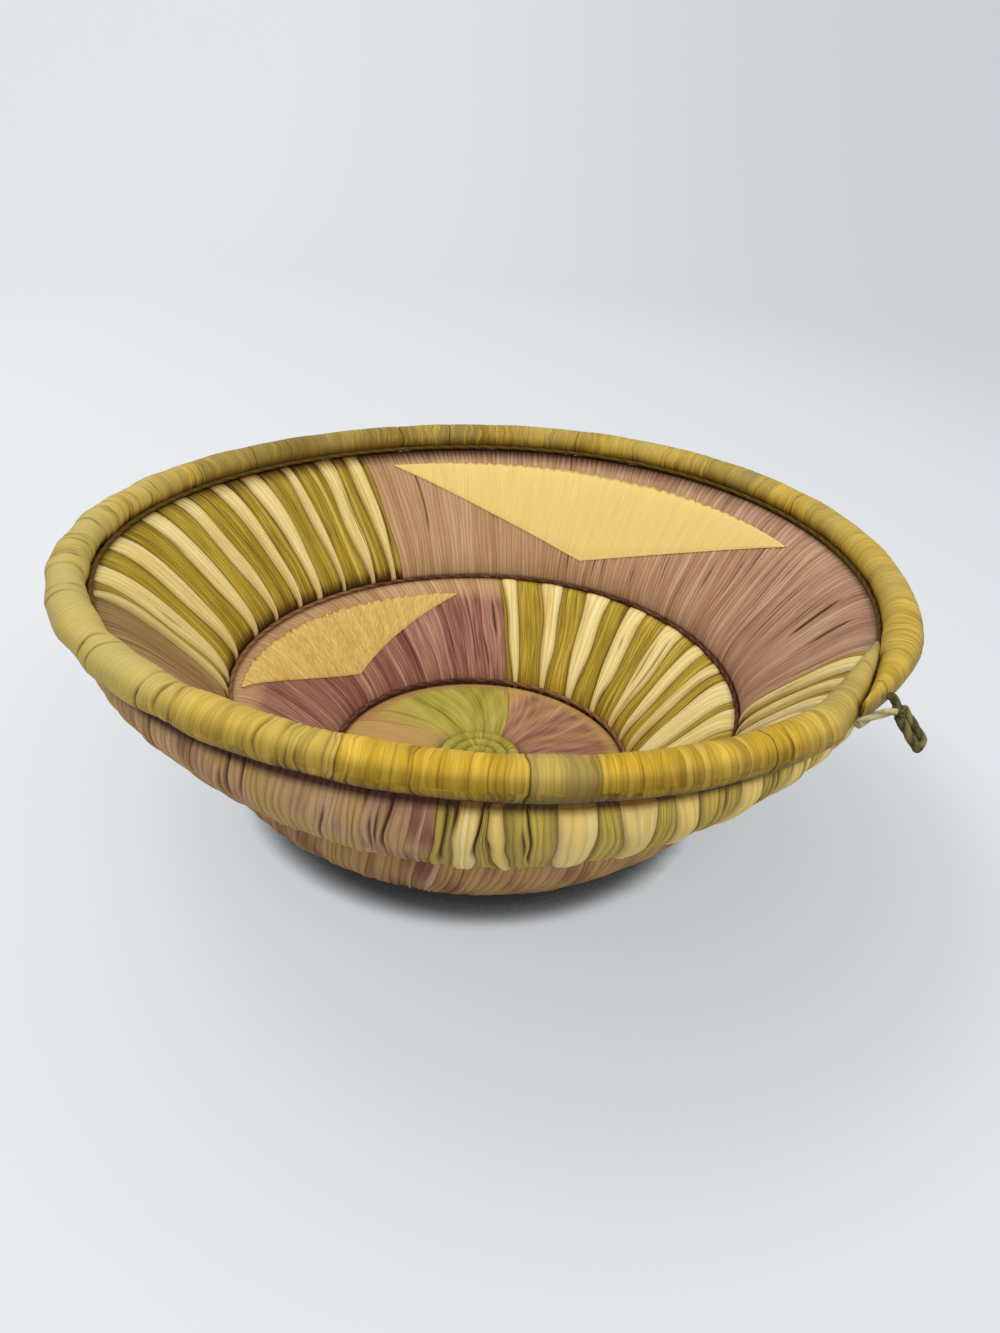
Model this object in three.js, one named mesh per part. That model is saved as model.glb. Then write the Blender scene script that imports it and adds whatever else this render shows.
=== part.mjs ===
// Coiled basket: a shallow round bowl of thick wrapped grass coils, sewn ring to ring.
// Millimetres, +Z up. The origin is the centre of the underside, on the surface it stands on.
// Angles are in degrees, counter-clockwise from +X seen from above.
// A ring's section has its own axes: along, from its low edge to its high edge, and across,
// from its middle line towards the inside of the bowl.
import * as THREE from "three";

// Overall size
const RIM_RADIUS = 150;
const HEIGHT = 104.4;

// Base: a small spiral of thin coil in a flat ring. The ring's underside is cut flat to stand on.
const CENTRE_COIL_RADIUS = 2.55;
const CENTRE_COIL_PITCH = 5;
const CENTRE_COIL_TURNS = 3;
const CENTRE_COIL_HEIGHT = 6.3;
const COIL_END_ANGLE = 25;
const BASE_RADIUS = 61.2;
const BASE_THICKNESS = 9;
const BASE_CUT = 0.8;

// Wall: two wrapped bands that meet at a step
const STEP_RADIUS = 99.2;
const STEP_HEIGHT = 42.9;
const BAND_INSIDE_SWELL = 6;
const LOWER_OUTSIDE_SWELL = 14.6;
const UPPER_OUTSIDE_SWELL = 8.6;
const HEEL_HEIGHT = 5;

// Rim coil, with its two tapered ends side by side
const RIM_COIL_WIDTH = 12.2;
const RIM_COIL_HEIGHT = 11.8;
const RIM_START = -17;
const SCARF_ANGLE = 28;
const SCARF_GAP = 0.6;
const START_THIN_FROM = 0.25;
const START_WRAPPED_FROM = 0.5;
const START_STUFFED_FROM = 0.64;
const FINISH_STUFFED_TO = 0.58;
const FINISH_WRAPPED_TO = 0.62;
const FINISH_THIN_TO = 0.85;
const SCARF_BEND = 1.6;
const SCARF_SLIMMEST = 0.6;
const SCARF_BULGE = 1.5;
const SCARF_BULGE_WIDTH = 10;
const FINISH_DRAWN_IN = 2;

// Raffia
const BAND_WRAP = 1.4;
const RIM_WRAP = 1;
const PANEL_THICKNESS = 0.7;
const STRIP_RISE = 1.6;
const SEAM_RADIUS = 1.1;

// Clearances
const WRAP_GAP = 1.5;
const RIM_WRAP_GAP = 0.8;
const SECTOR_GAP = 0.35;
const RING_GAP = 0.4;
const PANEL_GAP = 0.7;
const SEAM_GAP = 0.65;
const KNOT_GAP = 0.3;

// The hand-made shape: slightly oval, with a wave in the rim and a wall fuller on one side
const OVAL = 0.035;
const OVAL_TOWARD = 40.5;
const WAVE = 2.1;
const WAVE_TOWARD = 53.8;
const LOWER_FULLER = 2.6;
const LOWER_FULLER_TOWARD = 180;
const UPPER_FULLER = 3.6;
const UPPER_FULLER_TOWARD = -113;

// How far the raffia leans from the low edge of a band to its high edge. It is drawn aside at the right
// and pushed the other way at the near left.
const LOWER_LEAN = 8;
const UPPER_LEAN = 3.5;
const DRAWN_ASIDE = { by: -16, at: -40, width: 42 };
const PUSHED_ASIDE = { by: 6.5, at: -125, width: 24 };

// Cream strips, laid by hand: the angle of each one's middle line and its width, in degrees
const UPPER_LEFT_STRIPS = [
  [122.7, 2.7], [129, 3], [137.7, 1.9], [145.8, 3.3], [153.3, 2.7],
  [162.9, 2.8], [172, 3.8], [184, 4.3], [195, 4.7], [201.6, 1.7],
];
const UPPER_NEAR_STRIPS = [
  [-90.6, 3], [-85.5, 1.5], [-77.5, 3], [-70.2, 2], [-60.5, 2.8], [-51, 2.8],
  [-42, 2.8], [-35.5, 2.8], [-29, 2.8], [-22.5, 2.5], [-16, 3.2],
];
const LOWER_STRIPS = [
  [-41, 5], [-31, 4.5], [-22, 4], [-10.8, 7], [1.3, 8], [12.6, 3.4],
  [22, 4], [32, 5.5], [45, 5], [57.9, 5.8], [71.1, 4.3], [83.3, 3.3],
];
const STRIP_CROWN_SHARE = 0.54;
const STRIP_WIDE = 1.12;
const STRIP_WIDENS = 0.1;
const STRIP_TAPER = 0.5;

// Where the wrap changes colour: the limits of each striped sector, and where it is split
const UPPER_NEAR_LIMITS = [-94.5, -56, -12.5];
const UPPER_LEFT_LIMITS = [120, 158, 203.5];
const LOWER_STRIPED_LIMITS = [-49, -5, 38.5, 86.5];

// Base sectors
const BASE_OLIVE_FROM = 82;
const BASE_OLIVE_TO = 163;
const BASE_MAUVE_JOINT = 302.5;

// Cream triangles, each corner as an angle and a share of the band's width from its low edge, and how far
// the edges from the point to the two corners bow down, as such a share
const UPPER_TRIANGLE = { left: [116, 0.87], right: [25, 0.83], point: [69.5, 0.186], bows: [0.075, 0.075] };
const LOWER_TRIANGLE = { left: [194, 0.93], right: [102.5, 0.81], point: [148, 0.28], bows: [0.09, 0.033] };

// Where the rim's raffia runs out and a new length starts, in degrees of travel from the coil's start
const RIM_JOINTS = [40, 68, 86, 117, 160, 198, 230, 240, 265.5, 312, 358.8];

// Hanging loop, tied under the scarf: a knot, two strands to the rim and a drooping eye
const KNOT = { radius: 150.2, angle: -36.6, height: 98 };
const KNOT_SIZE = 2.3;
const STRAND_RADIUS = 1.35;
const EYE_TIP = { radius: 158.2, angle: -33.9, height: 85.2 };
const EYE_WIDTH = 6.8;
const EYE_NECK = 3.3;
const EYE_TURNED = 50;

// Facets
const BAND_SIDES = 12;
const RIM_SIDES = 10;
const SEAM_SIDES = 4;
const COIL_SIDES = 6;
const STRAND_SIDES = 4;
const BAND_STEP = 6.5;
const BASE_STEP = 9;
const RIM_STEP = 6;
const CORE_STEP = 6.5;
const COIL_STEPS = 24;
const SEAM_STEPS = 40;
const PANEL_COLUMNS = 18;
const PANEL_ROWS = 5;
const SEAT_STEP = 0.05;

const OLIVE = material(0x8f8435, 0.62);
const MAUVE = material(0x96705f, 0.7);
const CREAM = material(0xe2cd84, 0.66);
const MUSTARD = material(0xb8973a, 0.5);
const GRASS = material(0xb39a5c, 0.85);
const SEAM = material(0x4a2412, 0.8);
const STRAND_LIGHT = material(0xb8ae80, 0.75);
const STRAND_DARK = material(0x5a5230, 0.75);

function material(color, roughness) {
  return new THREE.MeshStandardMaterial({ color, roughness, metalness: 0 });
}

const radians = THREE.MathUtils.degToRad;
const clamp = THREE.MathUtils.clamp;
const blend = THREE.MathUtils.lerp;

// A point of the basket, moved by the hand-made shape. The base stays flat.
function shaped(radius, angle, height) {
  const share = radius / RIM_RADIUS;
  const climb = Math.max(0, (radius - BASE_RADIUS) / (RIM_RADIUS - BASE_RADIUS));
  const oval = 1 + OVAL * share * Math.cos(radians(2 * (angle - OVAL_TOWARD)));
  const wave = WAVE * climb * Math.cos(radians(2 * (angle - WAVE_TOWARD)));
  return new THREE.Vector3(
    radius * oval * Math.cos(radians(angle)),
    radius * oval * Math.sin(radians(angle)),
    height + wave,
  );
}

// 1 round an angle and 0 far from it, with a flat top
function hill(angle, { at, width }) {
  const away = THREE.MathUtils.euclideanModulo(angle - at + 180, 360) - 180;
  return Math.exp(-((away / width) ** 4));
}

function upperLean(angle) {
  return UPPER_LEAN + [DRAWN_ASIDE, PUSHED_ASIDE].reduce((sum, aside) => sum + aside.by * hill(angle, aside), 0);
}

// The rings that the basket is sewn from. Each has a low and a high edge in its section.
const rimCentre = new THREE.Vector2(
  RIM_RADIUS - RIM_COIL_WIDTH / 2,
  HEIGHT - RIM_COIL_HEIGHT / 2,
);
const step = new THREE.Vector2(STEP_RADIUS, STEP_HEIGHT);
const heel = new THREE.Vector2(BASE_RADIUS, HEEL_HEIGHT);
const underRim = rimCentre
  .clone()
  .sub(step)
  .setLength(rimCentre.distanceTo(step) - RIM_COIL_WIDTH / 2 - RING_GAP)
  .add(step);

// Radius of the centre coil's middle line after some turns
function coilRadius(turns) {
  return CENTRE_COIL_RADIUS * 1.2 + CENTRE_COIL_PITCH * turns;
}
const coilHalfWidth = CENTRE_COIL_RADIUS * Math.cos(Math.PI / COIL_SIDES);
const centreOuter = coilRadius(CENTRE_COIL_TURNS) + coilHalfWidth;

function ring(low, high, inside, outside, extra = {}) {
  const along = high.clone().sub(low);
  const length = along.length();
  along.normalize();
  return {
    middle: low.clone().add(high).multiplyScalar(0.5),
    along,
    across: new THREE.Vector2(-along.y, along.x),
    length: length - RING_GAP,
    inside,
    outside,
    fuller: 0,
    fullerToward: 0,
    lean: () => 0,
    inward: () => 0,
    ...extra,
  };
}

const baseRing = ring(
  new THREE.Vector2(centreOuter + RING_GAP, BASE_THICKNESS / 2),
  new THREE.Vector2(BASE_RADIUS, BASE_THICKNESS / 2),
  BASE_THICKNESS / 2,
  BASE_THICKNESS / 2 + BASE_CUT,
  {
    // Its inner edge follows the last turn of the centre coil
    inward: (angle) => {
      const past = THREE.MathUtils.euclideanModulo(angle, 360);
      return CENTRE_COIL_PITCH * (1 - past / 360) * clamp(past / COIL_END_ANGLE, 0, 1);
    },
  },
);
const lowerBand = ring(heel, step, BAND_INSIDE_SWELL, LOWER_OUTSIDE_SWELL, {
  fuller: LOWER_FULLER,
  fullerToward: LOWER_FULLER_TOWARD,
  lean: () => LOWER_LEAN,
});
const upperBand = ring(step, underRim, BAND_INSIDE_SWELL, UPPER_OUTSIDE_SWELL, {
  fuller: UPPER_FULLER,
  fullerToward: UPPER_FULLER_TOWARD,
  lean: upperLean,
});

// How far a ring's section reaches outwards at an angle
function outsideOf(band, angle) {
  return band.outside + band.fuller * Math.cos(radians(angle - band.fullerToward));
}

// One point of a ring's rounded section, in the plane of radius and height.
// turn runs once round the section, rise lifts the face for a raised strip.
function sectionPoint(band, angle, turn, inset, rise = 0) {
  const cos = Math.cos(turn);
  const sin = Math.sin(turn);
  const along = Math.sign(cos) * Math.abs(cos) ** (2 / 3);
  const depth = sin > 0 ? band.inside : outsideOf(band, angle);
  const fade = 1 - along ** 6;
  const across = sin * (depth - inset) + Math.sign(sin) * rise * fade * Math.abs(sin);
  const inward = band.inward(angle);
  const point = band.middle
    .clone()
    .addScaledVector(band.along, along * ((band.length + inward) / 2 - inset) - inward / 2)
    .addScaledVector(band.across, across);
  point.y = Math.max(point.y, 0);
  return { point, along };
}

// How wide a strip is at a place along its band: it runs to a slim end in the crease at the low edge
function stripWidth(along) {
  return STRIP_WIDE + STRIP_WIDENS * along - STRIP_TAPER * THREE.MathUtils.smoothstep(-along, 0.1, 1);
}

// The closed outline of a ring at one angle, as points in space. Raffia leans, the bundle does not.
// Where the angle belongs to a strip, strip is how far it lies from the strip's middle line.
function outline(band, angle, sides, inset, { rise = 0, strip = 0, lean = band.lean(angle) } = {}) {
  return Array.from({ length: sides }, (_, i) => {
    const { point, along } = sectionPoint(band, angle, (2 * Math.PI * i) / sides, inset, rise);
    const aside = strip * (stripWidth(along) - 1);
    return shaped(point.x, angle + aside + (lean / 2) * along, point.y);
  });
}

// Geometry from points and triangles, turned so that its faces point outwards
function solid(points, triangles) {
  const volume = triangles.reduce(
    (sum, [a, b, c]) => sum + points[a].dot(points[b].clone().cross(points[c])),
    0,
  );
  const faces = volume < 0 ? triangles.map(([a, b, c]) => [a, c, b]) : triangles;
  const geometry = new THREE.BufferGeometry().setFromPoints(points);
  geometry.setIndex(faces.flat());
  geometry.computeVertexNormals();
  return geometry;
}

// A skin over outlines of equal count, open at both ends, with its first point at index base
function skin(rings, base) {
  const count = rings[0].length;
  const at = (row, i) => base + row * count + (i % count);
  return rings.slice(1).flatMap((_, row) =>
    rings[0].flatMap((_, i) => [
      [at(row, i), at(row, i + 1), at(row + 1, i + 1)],
      [at(row, i), at(row + 1, i + 1), at(row + 1, i)],
    ]),
  );
}

// A solid swept through its outlines, with flat ends
function loft(rings) {
  const count = rings[0].length;
  const last = (rings.length - 1) * count;
  const ends = rings[0].slice(2).flatMap((_, i) => [
    [0, i + 2, i + 1],
    [last, last + i + 1, last + i + 2],
  ]);
  return solid(rings.flat(), [...skin(rings, 0), ...ends]);
}

// A solid ring swept through its outlines back to the first
function loop(rings) {
  const count = rings[0].length;
  const closed = skin([...rings, rings[0]], 0).map((face) =>
    face.map((index) => index % (rings.length * count)),
  );
  return solid(rings.flat(), closed);
}

// A sleeve of raffia: an outer skin, an inner skin with half as many sides, and its two open ends
function sleeve(outer, inner) {
  const sides = outer[0].length;
  const innerSides = inner[0].length;
  const innerBase = outer.length * sides;
  const end = (row) =>
    inner[0].flatMap((_, i) => {
      const o = (k) => row * sides + ((2 * i + k) % sides);
      const p = (k) => innerBase + row * innerSides + ((i + k) % innerSides);
      return [
        [o(1), o(0), p(0)],
        [o(1), p(0), p(1)],
        [o(2), o(1), p(1)],
      ];
    });
  const turned = (faces) => faces.map(([a, b, c]) => [a, c, b]);
  return solid(
    [...outer, ...inner].flat(),
    [
      ...skin(outer, 0),
      ...turned(skin(inner, innerBase)),
      ...end(0),
      ...turned(end(outer.length - 1)),
    ],
  );
}

// Angles from one to another in equal steps no wider than widest
function steps(from, to, widest) {
  const count = Math.max(2, Math.ceil(Math.abs(to - from) / widest));
  return Array.from({ length: count + 1 }, (_, i) => blend(from, to, i / count));
}

const basket = new THREE.Group();

function add(name, geometry, finish, parent = basket) {
  const mesh = new THREE.Mesh(geometry, finish);
  mesh.name = name;
  parent.add(mesh);
  return mesh;
}

// The angle that leaves half the gap between neighbouring sectors at a radius
function trim(radius) {
  return THREE.MathUtils.radToDeg(SECTOR_GAP / 2 / radius);
}

// A sleeve round part of a ring. columns are the angles of its outlines, with what outline needs for each.
function wrapSector(band, columns) {
  const outer = columns.map(([angle, extra]) => outline(band, angle, BAND_SIDES, 0, extra));
  const inner = columns.map(([angle]) => outline(band, angle, BAND_SIDES / 2, BAND_WRAP));
  return sleeve(outer, inner);
}

function plainSector(band, from, to, widest) {
  const cut = trim(band.middle.x - band.length / 2 * band.along.x);
  return wrapSector(
    band,
    steps(from + cut, to - cut, widest).map((angle) => [angle]),
  );
}

// Raised cream strips on an olive ground: each strip has two foot lines and a crown between them
function stripedSector(band, from, to, strips) {
  const cut = trim(band.middle.x - band.length / 2 * band.along.x);
  const columns = strips
    .filter(([centre]) => centre > from && centre < to)
    .flatMap(([centre, width]) => {
      const foot = width / 2;
      const crown = foot * STRIP_CROWN_SHARE;
      return [
        [centre - foot, { strip: -foot }],
        [centre - crown, { strip: -crown, rise: STRIP_RISE }],
        [centre + crown, { strip: crown, rise: STRIP_RISE }],
        [centre + foot, { strip: foot }],
      ];
    });
  return wrapSector(band, [[from + cut], ...columns, [to - cut]]);
}

function addStripes(names, band, limits, strips) {
  names.forEach((name, i) =>
    add(name, stripedSector(band, limits[i], limits[i + 1], strips), OLIVE),
  );
}

function addPlain(names, band, from, to, finish, widest = BAND_STEP) {
  const each = (to - from) / names.length;
  names.forEach((name, i) =>
    add(name, plainSector(band, from + i * each, from + (i + 1) * each, widest), finish),
  );
}

// A bundle of grass inside a wrapped ring. Its two ends meet at one angle.
function addBundle(name, band, meetsAt, widest, sides = BAND_SIDES / 2) {
  const cut = trim(band.middle.x);
  const rings = steps(meetsAt + cut, meetsAt + 360 - cut, widest).map((angle) =>
    outline(band, angle, sides, BAND_WRAP + WRAP_GAP, { lean: 0 }),
  );
  add(name, loft(rings), GRASS);
}

// The middle of the base: a tight spiral of thin coil, as one unbroken tube
function spiralRings() {
  return Array.from({ length: CENTRE_COIL_TURNS * COIL_STEPS + 1 }, (_, i) => {
    const angle = (360 * i) / COIL_STEPS;
    const radius = coilRadius(i / COIL_STEPS);
    return Array.from({ length: COIL_SIDES }, (_, k) => {
      const turn = (2 * Math.PI * (k + 0.5)) / COIL_SIDES;
      return shaped(
        radius + CENTRE_COIL_RADIUS * Math.cos(turn),
        angle,
        CENTRE_COIL_HEIGHT + CENTRE_COIL_RADIUS * Math.sin(turn),
      );
    });
  });
}

// The least distance between two sets of outlines
function leastGap(ringsA, ringsB) {
  const others = ringsB.flat();
  return Math.min(...ringsA.flat().map((p) => Math.min(...others.map((q) => p.distanceTo(q)))));
}

const spiral = spiralRings();
const spiralGap = Math.min(
  ...spiral.slice(COIL_STEPS).map((outer, i) => leastGap([outer], spiral.slice(i, i + 2))),
);
add("centre_coil", loft(spiral), OLIVE);

// Base ring
addBundle("base_bundle", baseRing, BASE_MAUVE_JOINT, BASE_STEP);
addPlain(["base_wrap_olive"], baseRing, BASE_OLIVE_FROM, BASE_OLIVE_TO, OLIVE, BASE_STEP);
addPlain(["base_wrap_mauve_near"], baseRing, BASE_OLIVE_TO, BASE_MAUVE_JOINT, MAUVE, BASE_STEP);
addPlain(
  ["base_wrap_mauve_right"],
  baseRing,
  BASE_MAUVE_JOINT,
  BASE_OLIVE_FROM + 360,
  MAUVE,
  BASE_STEP,
);

// Lower band
addBundle("lower_bundle", lowerBand, LOWER_STRIPED_LIMITS[0], CORE_STEP);
addStripes(
  ["lower_stripes_front", "lower_stripes_right", "lower_stripes_back"],
  lowerBand,
  LOWER_STRIPED_LIMITS,
  LOWER_STRIPS,
);
addPlain(
  [
    "lower_mauve_back",
    "lower_mauve_back_left",
    "lower_mauve_left",
    "lower_mauve_front_left",
    "lower_mauve_front",
  ],
  lowerBand,
  LOWER_STRIPED_LIMITS.at(-1),
  LOWER_STRIPED_LIMITS[0] + 360,
  MAUVE,
);

// Upper band
addBundle("upper_bundle", upperBand, UPPER_NEAR_LIMITS[0], CORE_STEP);
addStripes(
  ["upper_stripes_front", "upper_stripes_right"],
  upperBand,
  UPPER_NEAR_LIMITS,
  UPPER_NEAR_STRIPS,
);
addPlain(
  ["upper_mauve_right", "upper_mauve_back", "upper_mauve_back_left"],
  upperBand,
  UPPER_NEAR_LIMITS.at(-1),
  UPPER_LEFT_LIMITS[0],
  MAUVE,
);
addStripes(
  ["upper_stripes_back_left", "upper_stripes_left"],
  upperBand,
  UPPER_LEFT_LIMITS,
  UPPER_LEFT_STRIPS,
);
addPlain(
  ["upper_mauve_left", "upper_mauve_front_left"],
  upperBand,
  UPPER_LEFT_LIMITS.at(-1),
  UPPER_NEAR_LIMITS[0] + 360,
  MAUVE,
);

// A cream triangle laid on the inside face of a band: a long top edge and two edges to its point
function trianglePanel(band, { left, right, point, bows }) {
  const faceRow = (angle, share, lift) => {
    const along = 2 * share - 1;
    const sin = Math.sqrt(1 - Math.abs(along) ** 3);
    const place = band.middle
      .clone()
      .addScaledVector(band.along, (along * band.length) / 2)
      .addScaledVector(band.across, band.inside * sin + lift);
    return shaped(place.x, angle, place.y);
  };
  const rings = Array.from({ length: PANEL_COLUMNS + 1 }, (_, i) => {
    const share = blend(0.02, 0.98, i / PANEL_COLUMNS);
    const angle = blend(right[0], left[0], share);
    const top = blend(right[1], left[1], share);
    const [corner, bow] = angle < point[0] ? [right, bows[1]] : [left, bows[0]];
    const out = (angle - point[0]) / (corner[0] - point[0]);
    const low = blend(point[1], corner[1], out) - 4 * bow * out * (1 - out);
    const row = (k, lift) => faceRow(angle, blend(low, top, k / PANEL_ROWS), lift);
    const rows = Array.from({ length: PANEL_ROWS + 1 }, (_, k) => k);
    return [
      ...rows.map((k) => row(k, PANEL_GAP)),
      ...rows.reverse().map((k) => row(k, PANEL_GAP + PANEL_THICKNESS)),
    ];
  });
  return loft(rings);
}
add("lower_triangle_panel", trianglePanel(lowerBand, LOWER_TRIANGLE), CREAM);
add("upper_triangle_panel", trianglePanel(upperBand, UPPER_TRIANGLE), CREAM);

// Rim coil. travel is in degrees from its thin start, which lies inside the thin finish. The line between
// the two ends bends outwards, and the outer end swells before it is drawn in to its tip.
function rimSection(travel, sides, inset) {
  const startShare = clamp(travel / SCARF_ANGLE, 0, 1);
  const finishShare = clamp((travel - 360) / SCARF_ANGLE, 0, 1);
  const share = Math.min(startShare, 1 - finishShare);
  const bulge = SCARF_BULGE * Math.exp(-(((travel - 360) / SCARF_BULGE_WIDTH) ** 2));
  const farInside = rimCentre.x - RIM_COIL_WIDTH / 2;
  const innerEdge = farInside + finishShare ** SCARF_BEND * RIM_COIL_WIDTH;
  const outerEdge =
    farInside + startShare ** SCARF_BEND * RIM_COIL_WIDTH + bulge - FINISH_DRAWN_IN * finishShare ** 2;
  const halfWidth = (outerEdge - innerEdge - (share < 1 ? SCARF_GAP : 0)) / 2;
  const halfHeight = (RIM_COIL_HEIGHT / 2) * blend(0.4, 1, Math.sqrt(share));
  const middle = (innerEdge + outerEdge) / 2;
  const lift = finishShare > 0 ? RIM_COIL_HEIGHT / 2 - halfHeight : 0;
  return Array.from({ length: sides }, (_, i) => {
    const turn = (2 * Math.PI * i) / sides;
    return shaped(
      middle + Math.max(halfWidth - inset, SCARF_SLIMMEST / 2) * Math.cos(turn),
      RIM_START - travel,
      rimCentre.y + lift + (halfHeight - inset) * Math.sin(turn),
    );
  });
}

const rimRings = (from, to, sides, inset) =>
  steps(from, to, RIM_STEP).map((travel) => rimSection(travel, sides, inset));
const onStart = (share) => share * SCARF_ANGLE;
const onFinish = (share) => 360 + share * SCARF_ANGLE;
const wrappedFrom = onStart(START_WRAPPED_FROM);
const wrappedTo = onFinish(FINISH_WRAPPED_TO);
const rimTrim = trim(rimCentre.x);

add(
  "rim_bundle",
  loft(
    rimRings(
      onStart(START_STUFFED_FROM),
      onFinish(FINISH_STUFFED_TO),
      RIM_SIDES / 2,
      RIM_WRAP + RIM_WRAP_GAP,
    ),
  ),
  GRASS,
);
[wrappedFrom, ...RIM_JOINTS].forEach((from, i) => {
  const to = RIM_JOINTS[i] ?? wrappedTo;
  const range = [from + rimTrim, to - rimTrim];
  const name = "rim_wrap_" + String(i + 1).padStart(2, "0");
  add(name, sleeve(rimRings(...range, RIM_SIDES, 0), rimRings(...range, RIM_SIDES / 2, RIM_WRAP)), MUSTARD);
});
const startTip = rimRings(onStart(START_THIN_FROM), wrappedFrom - rimTrim, RIM_SIDES, 0);
const finishTip = rimRings(wrappedTo + rimTrim, onFinish(FINISH_THIN_TO), RIM_SIDES, 0);
add("rim_start_tip", loft(startTip), MUSTARD);
add("rim_finish_tip", loft(finishTip), MUSTARD);

const alongScarf = steps(onStart(START_THIN_FROM), onStart(FINISH_THIN_TO), 1);
const scarfGap = leastGap(
  alongScarf.map((travel) => rimSection(travel, RIM_SIDES, 0)),
  alongScarf.map((travel) => rimSection(travel + 360, RIM_SIDES, 0)),
);

// Seam strands, each laid as deep as it goes in the crease between two rings
function bandOutline(band, angle) {
  const count = 96;
  return Array.from(
    { length: count },
    (_, i) => sectionPoint(band, angle, (2 * Math.PI * i) / count, 0).point,
  );
}

function rimOutline() {
  const count = 48;
  return Array.from({ length: count }, (_, i) => {
    const turn = (2 * Math.PI * i) / count;
    return new THREE.Vector2(
      rimCentre.x + (RIM_COIL_WIDTH / 2) * Math.cos(turn),
      rimCentre.y + (RIM_COIL_HEIGHT / 2) * Math.sin(turn),
    );
  });
}

function seat(crease, direction, outlines) {
  const clear = SEAM_RADIUS + SEAM_GAP;
  const place = crease.clone();
  const tooClose = () => outlines.some((points) => points.some((p) => p.distanceTo(place) < clear));
  while (tooClose()) place.addScaledVector(direction, SEAT_STEP);
  return place;
}

function seamRing(crease, direction, outlinesAt) {
  const rings = Array.from({ length: SEAM_STEPS }, (_, i) => {
    const angle = (360 * i) / SEAM_STEPS;
    const centre = seat(crease, direction, outlinesAt(angle));
    return Array.from({ length: SEAM_SIDES }, (_, k) => {
      const turn = (2 * Math.PI * k) / SEAM_SIDES;
      return shaped(
        centre.x + SEAM_RADIUS * Math.cos(turn),
        angle,
        centre.y + SEAM_RADIUS * Math.sin(turn),
      );
    });
  });
  return loop(rings);
}

const insideOf = (a, b) => a.across.clone().add(b.across).normalize();
const atBase = (angle) => [bandOutline(baseRing, angle), bandOutline(lowerBand, angle)];
const atStep = (angle) => [bandOutline(lowerBand, angle), bandOutline(upperBand, angle)];
const atRim = (angle) => [bandOutline(upperBand, angle), rimOutline()];
const stepInward = insideOf(lowerBand, upperBand);
add("base_seam", seamRing(heel, insideOf(baseRing, lowerBand), atBase), SEAM);
add("step_seam_inside", seamRing(step, stepInward, atStep), SEAM);
add("step_seam_outside", seamRing(step, stepInward.clone().negate(), atStep), SEAM);
add("rim_seam_inside", seamRing(underRim, upperBand.across, atRim), SEAM);
add("rim_seam_outside", seamRing(underRim, upperBand.across.clone().negate(), atRim), SEAM);

// Hanging loop. Its places are given by radius, angle and height, where it lies.
const at = ({ radius, angle, height }) =>
  new THREE.Vector3(
    radius * Math.cos(radians(angle)),
    radius * Math.sin(radians(angle)),
    height,
  );

function strand(points, count) {
  const circle = new THREE.Shape().absarc(0, 0, STRAND_RADIUS, 0, 2 * Math.PI, false);
  return new THREE.ExtrudeGeometry(circle, {
    extrudePath: new THREE.CatmullRomCurve3(points, false, "centripetal"),
    steps: count,
    curveSegments: STRAND_SIDES,
  });
}

const knot = at(KNOT);
add("loop_knot", new THREE.SphereGeometry(KNOT_SIZE, 10, 7).translate(...knot.toArray()), STRAND_DARK);

// A strand from where it comes out under the rim to the knot
function addStrandToKnot(name, places, finish) {
  const points = places.map(at);
  const last = points.at(-1);
  const end = knot.clone().add(last.clone().sub(knot).setLength(KNOT_SIZE + KNOT_GAP));
  add(name, strand([...points, end], 8), finish);
}
addStrandToKnot(
  "loop_strand_light",
  [
    { radius: 144.5, angle: -42.6, height: 96.8 },
    { radius: 145.5, angle: -40.2, height: 97.4 },
    { radius: 147.8, angle: -38.2, height: 98 },
  ],
  STRAND_LIGHT,
);
addStrandToKnot(
  "loop_strand_dark",
  [
    { radius: 145.4, angle: -35.9, height: 100.4 },
    { radius: 147.2, angle: -36, height: 100.3 },
  ],
  STRAND_DARK,
);

// The eye: out from the knot on one side, round its wide end and back on the other
const eyeReach = at(EYE_TIP).sub(knot);
const eyeLength = eyeReach.length();
const eyeAlong = eyeReach.clone().normalize();
const eyeAcross = eyeAlong
  .clone()
  .cross(new THREE.Vector3(0, 0, 1))
  .normalize()
  .applyAxisAngle(eyeAlong, radians(EYE_TURNED));
const eyeStart = KNOT_SIZE + KNOT_GAP;
const eyeTurn = (EYE_WIDTH - 2 * STRAND_RADIUS) / 2;
const eyeShoulder = eyeLength - STRAND_RADIUS - eyeTurn;
const eyeSide = (side) =>
  [
    [eyeStart, EYE_NECK / 2],
    [eyeStart + 2 * STRAND_RADIUS, EYE_NECK / 2],
    [eyeShoulder, eyeTurn],
    [eyeShoulder + eyeTurn * Math.SQRT1_2, eyeTurn * Math.SQRT1_2],
  ].map(([out, offset]) =>
    knot.clone().addScaledVector(eyeAlong, out).addScaledVector(eyeAcross, side * offset),
  );
const eyeEnd = knot.clone().addScaledVector(eyeAlong, eyeShoulder + eyeTurn);
add("loop_eye", strand([...eyeSide(1), eyeEnd, ...eyeSide(-1).reverse()], 28), STRAND_DARK);

console.log("least gap between the turns of the centre coil, mm: " + spiralGap.toFixed(2));
console.log("least gap between the two ends of the rim coil, mm: " + scarfGap.toFixed(2));

export default basket;
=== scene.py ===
"""A coiled basket of wrapped grass rings, dressed in strand after strand of raffia.

Lengths are in millimetres in the shape functions and turned to metres when a mesh is made. Angles are in
degrees, counter-clockwise from +X seen from above. A ring's section has its own axes: along, from its low
edge to its high edge, and across, from its middle line towards the inside of the bowl.
"""

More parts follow.
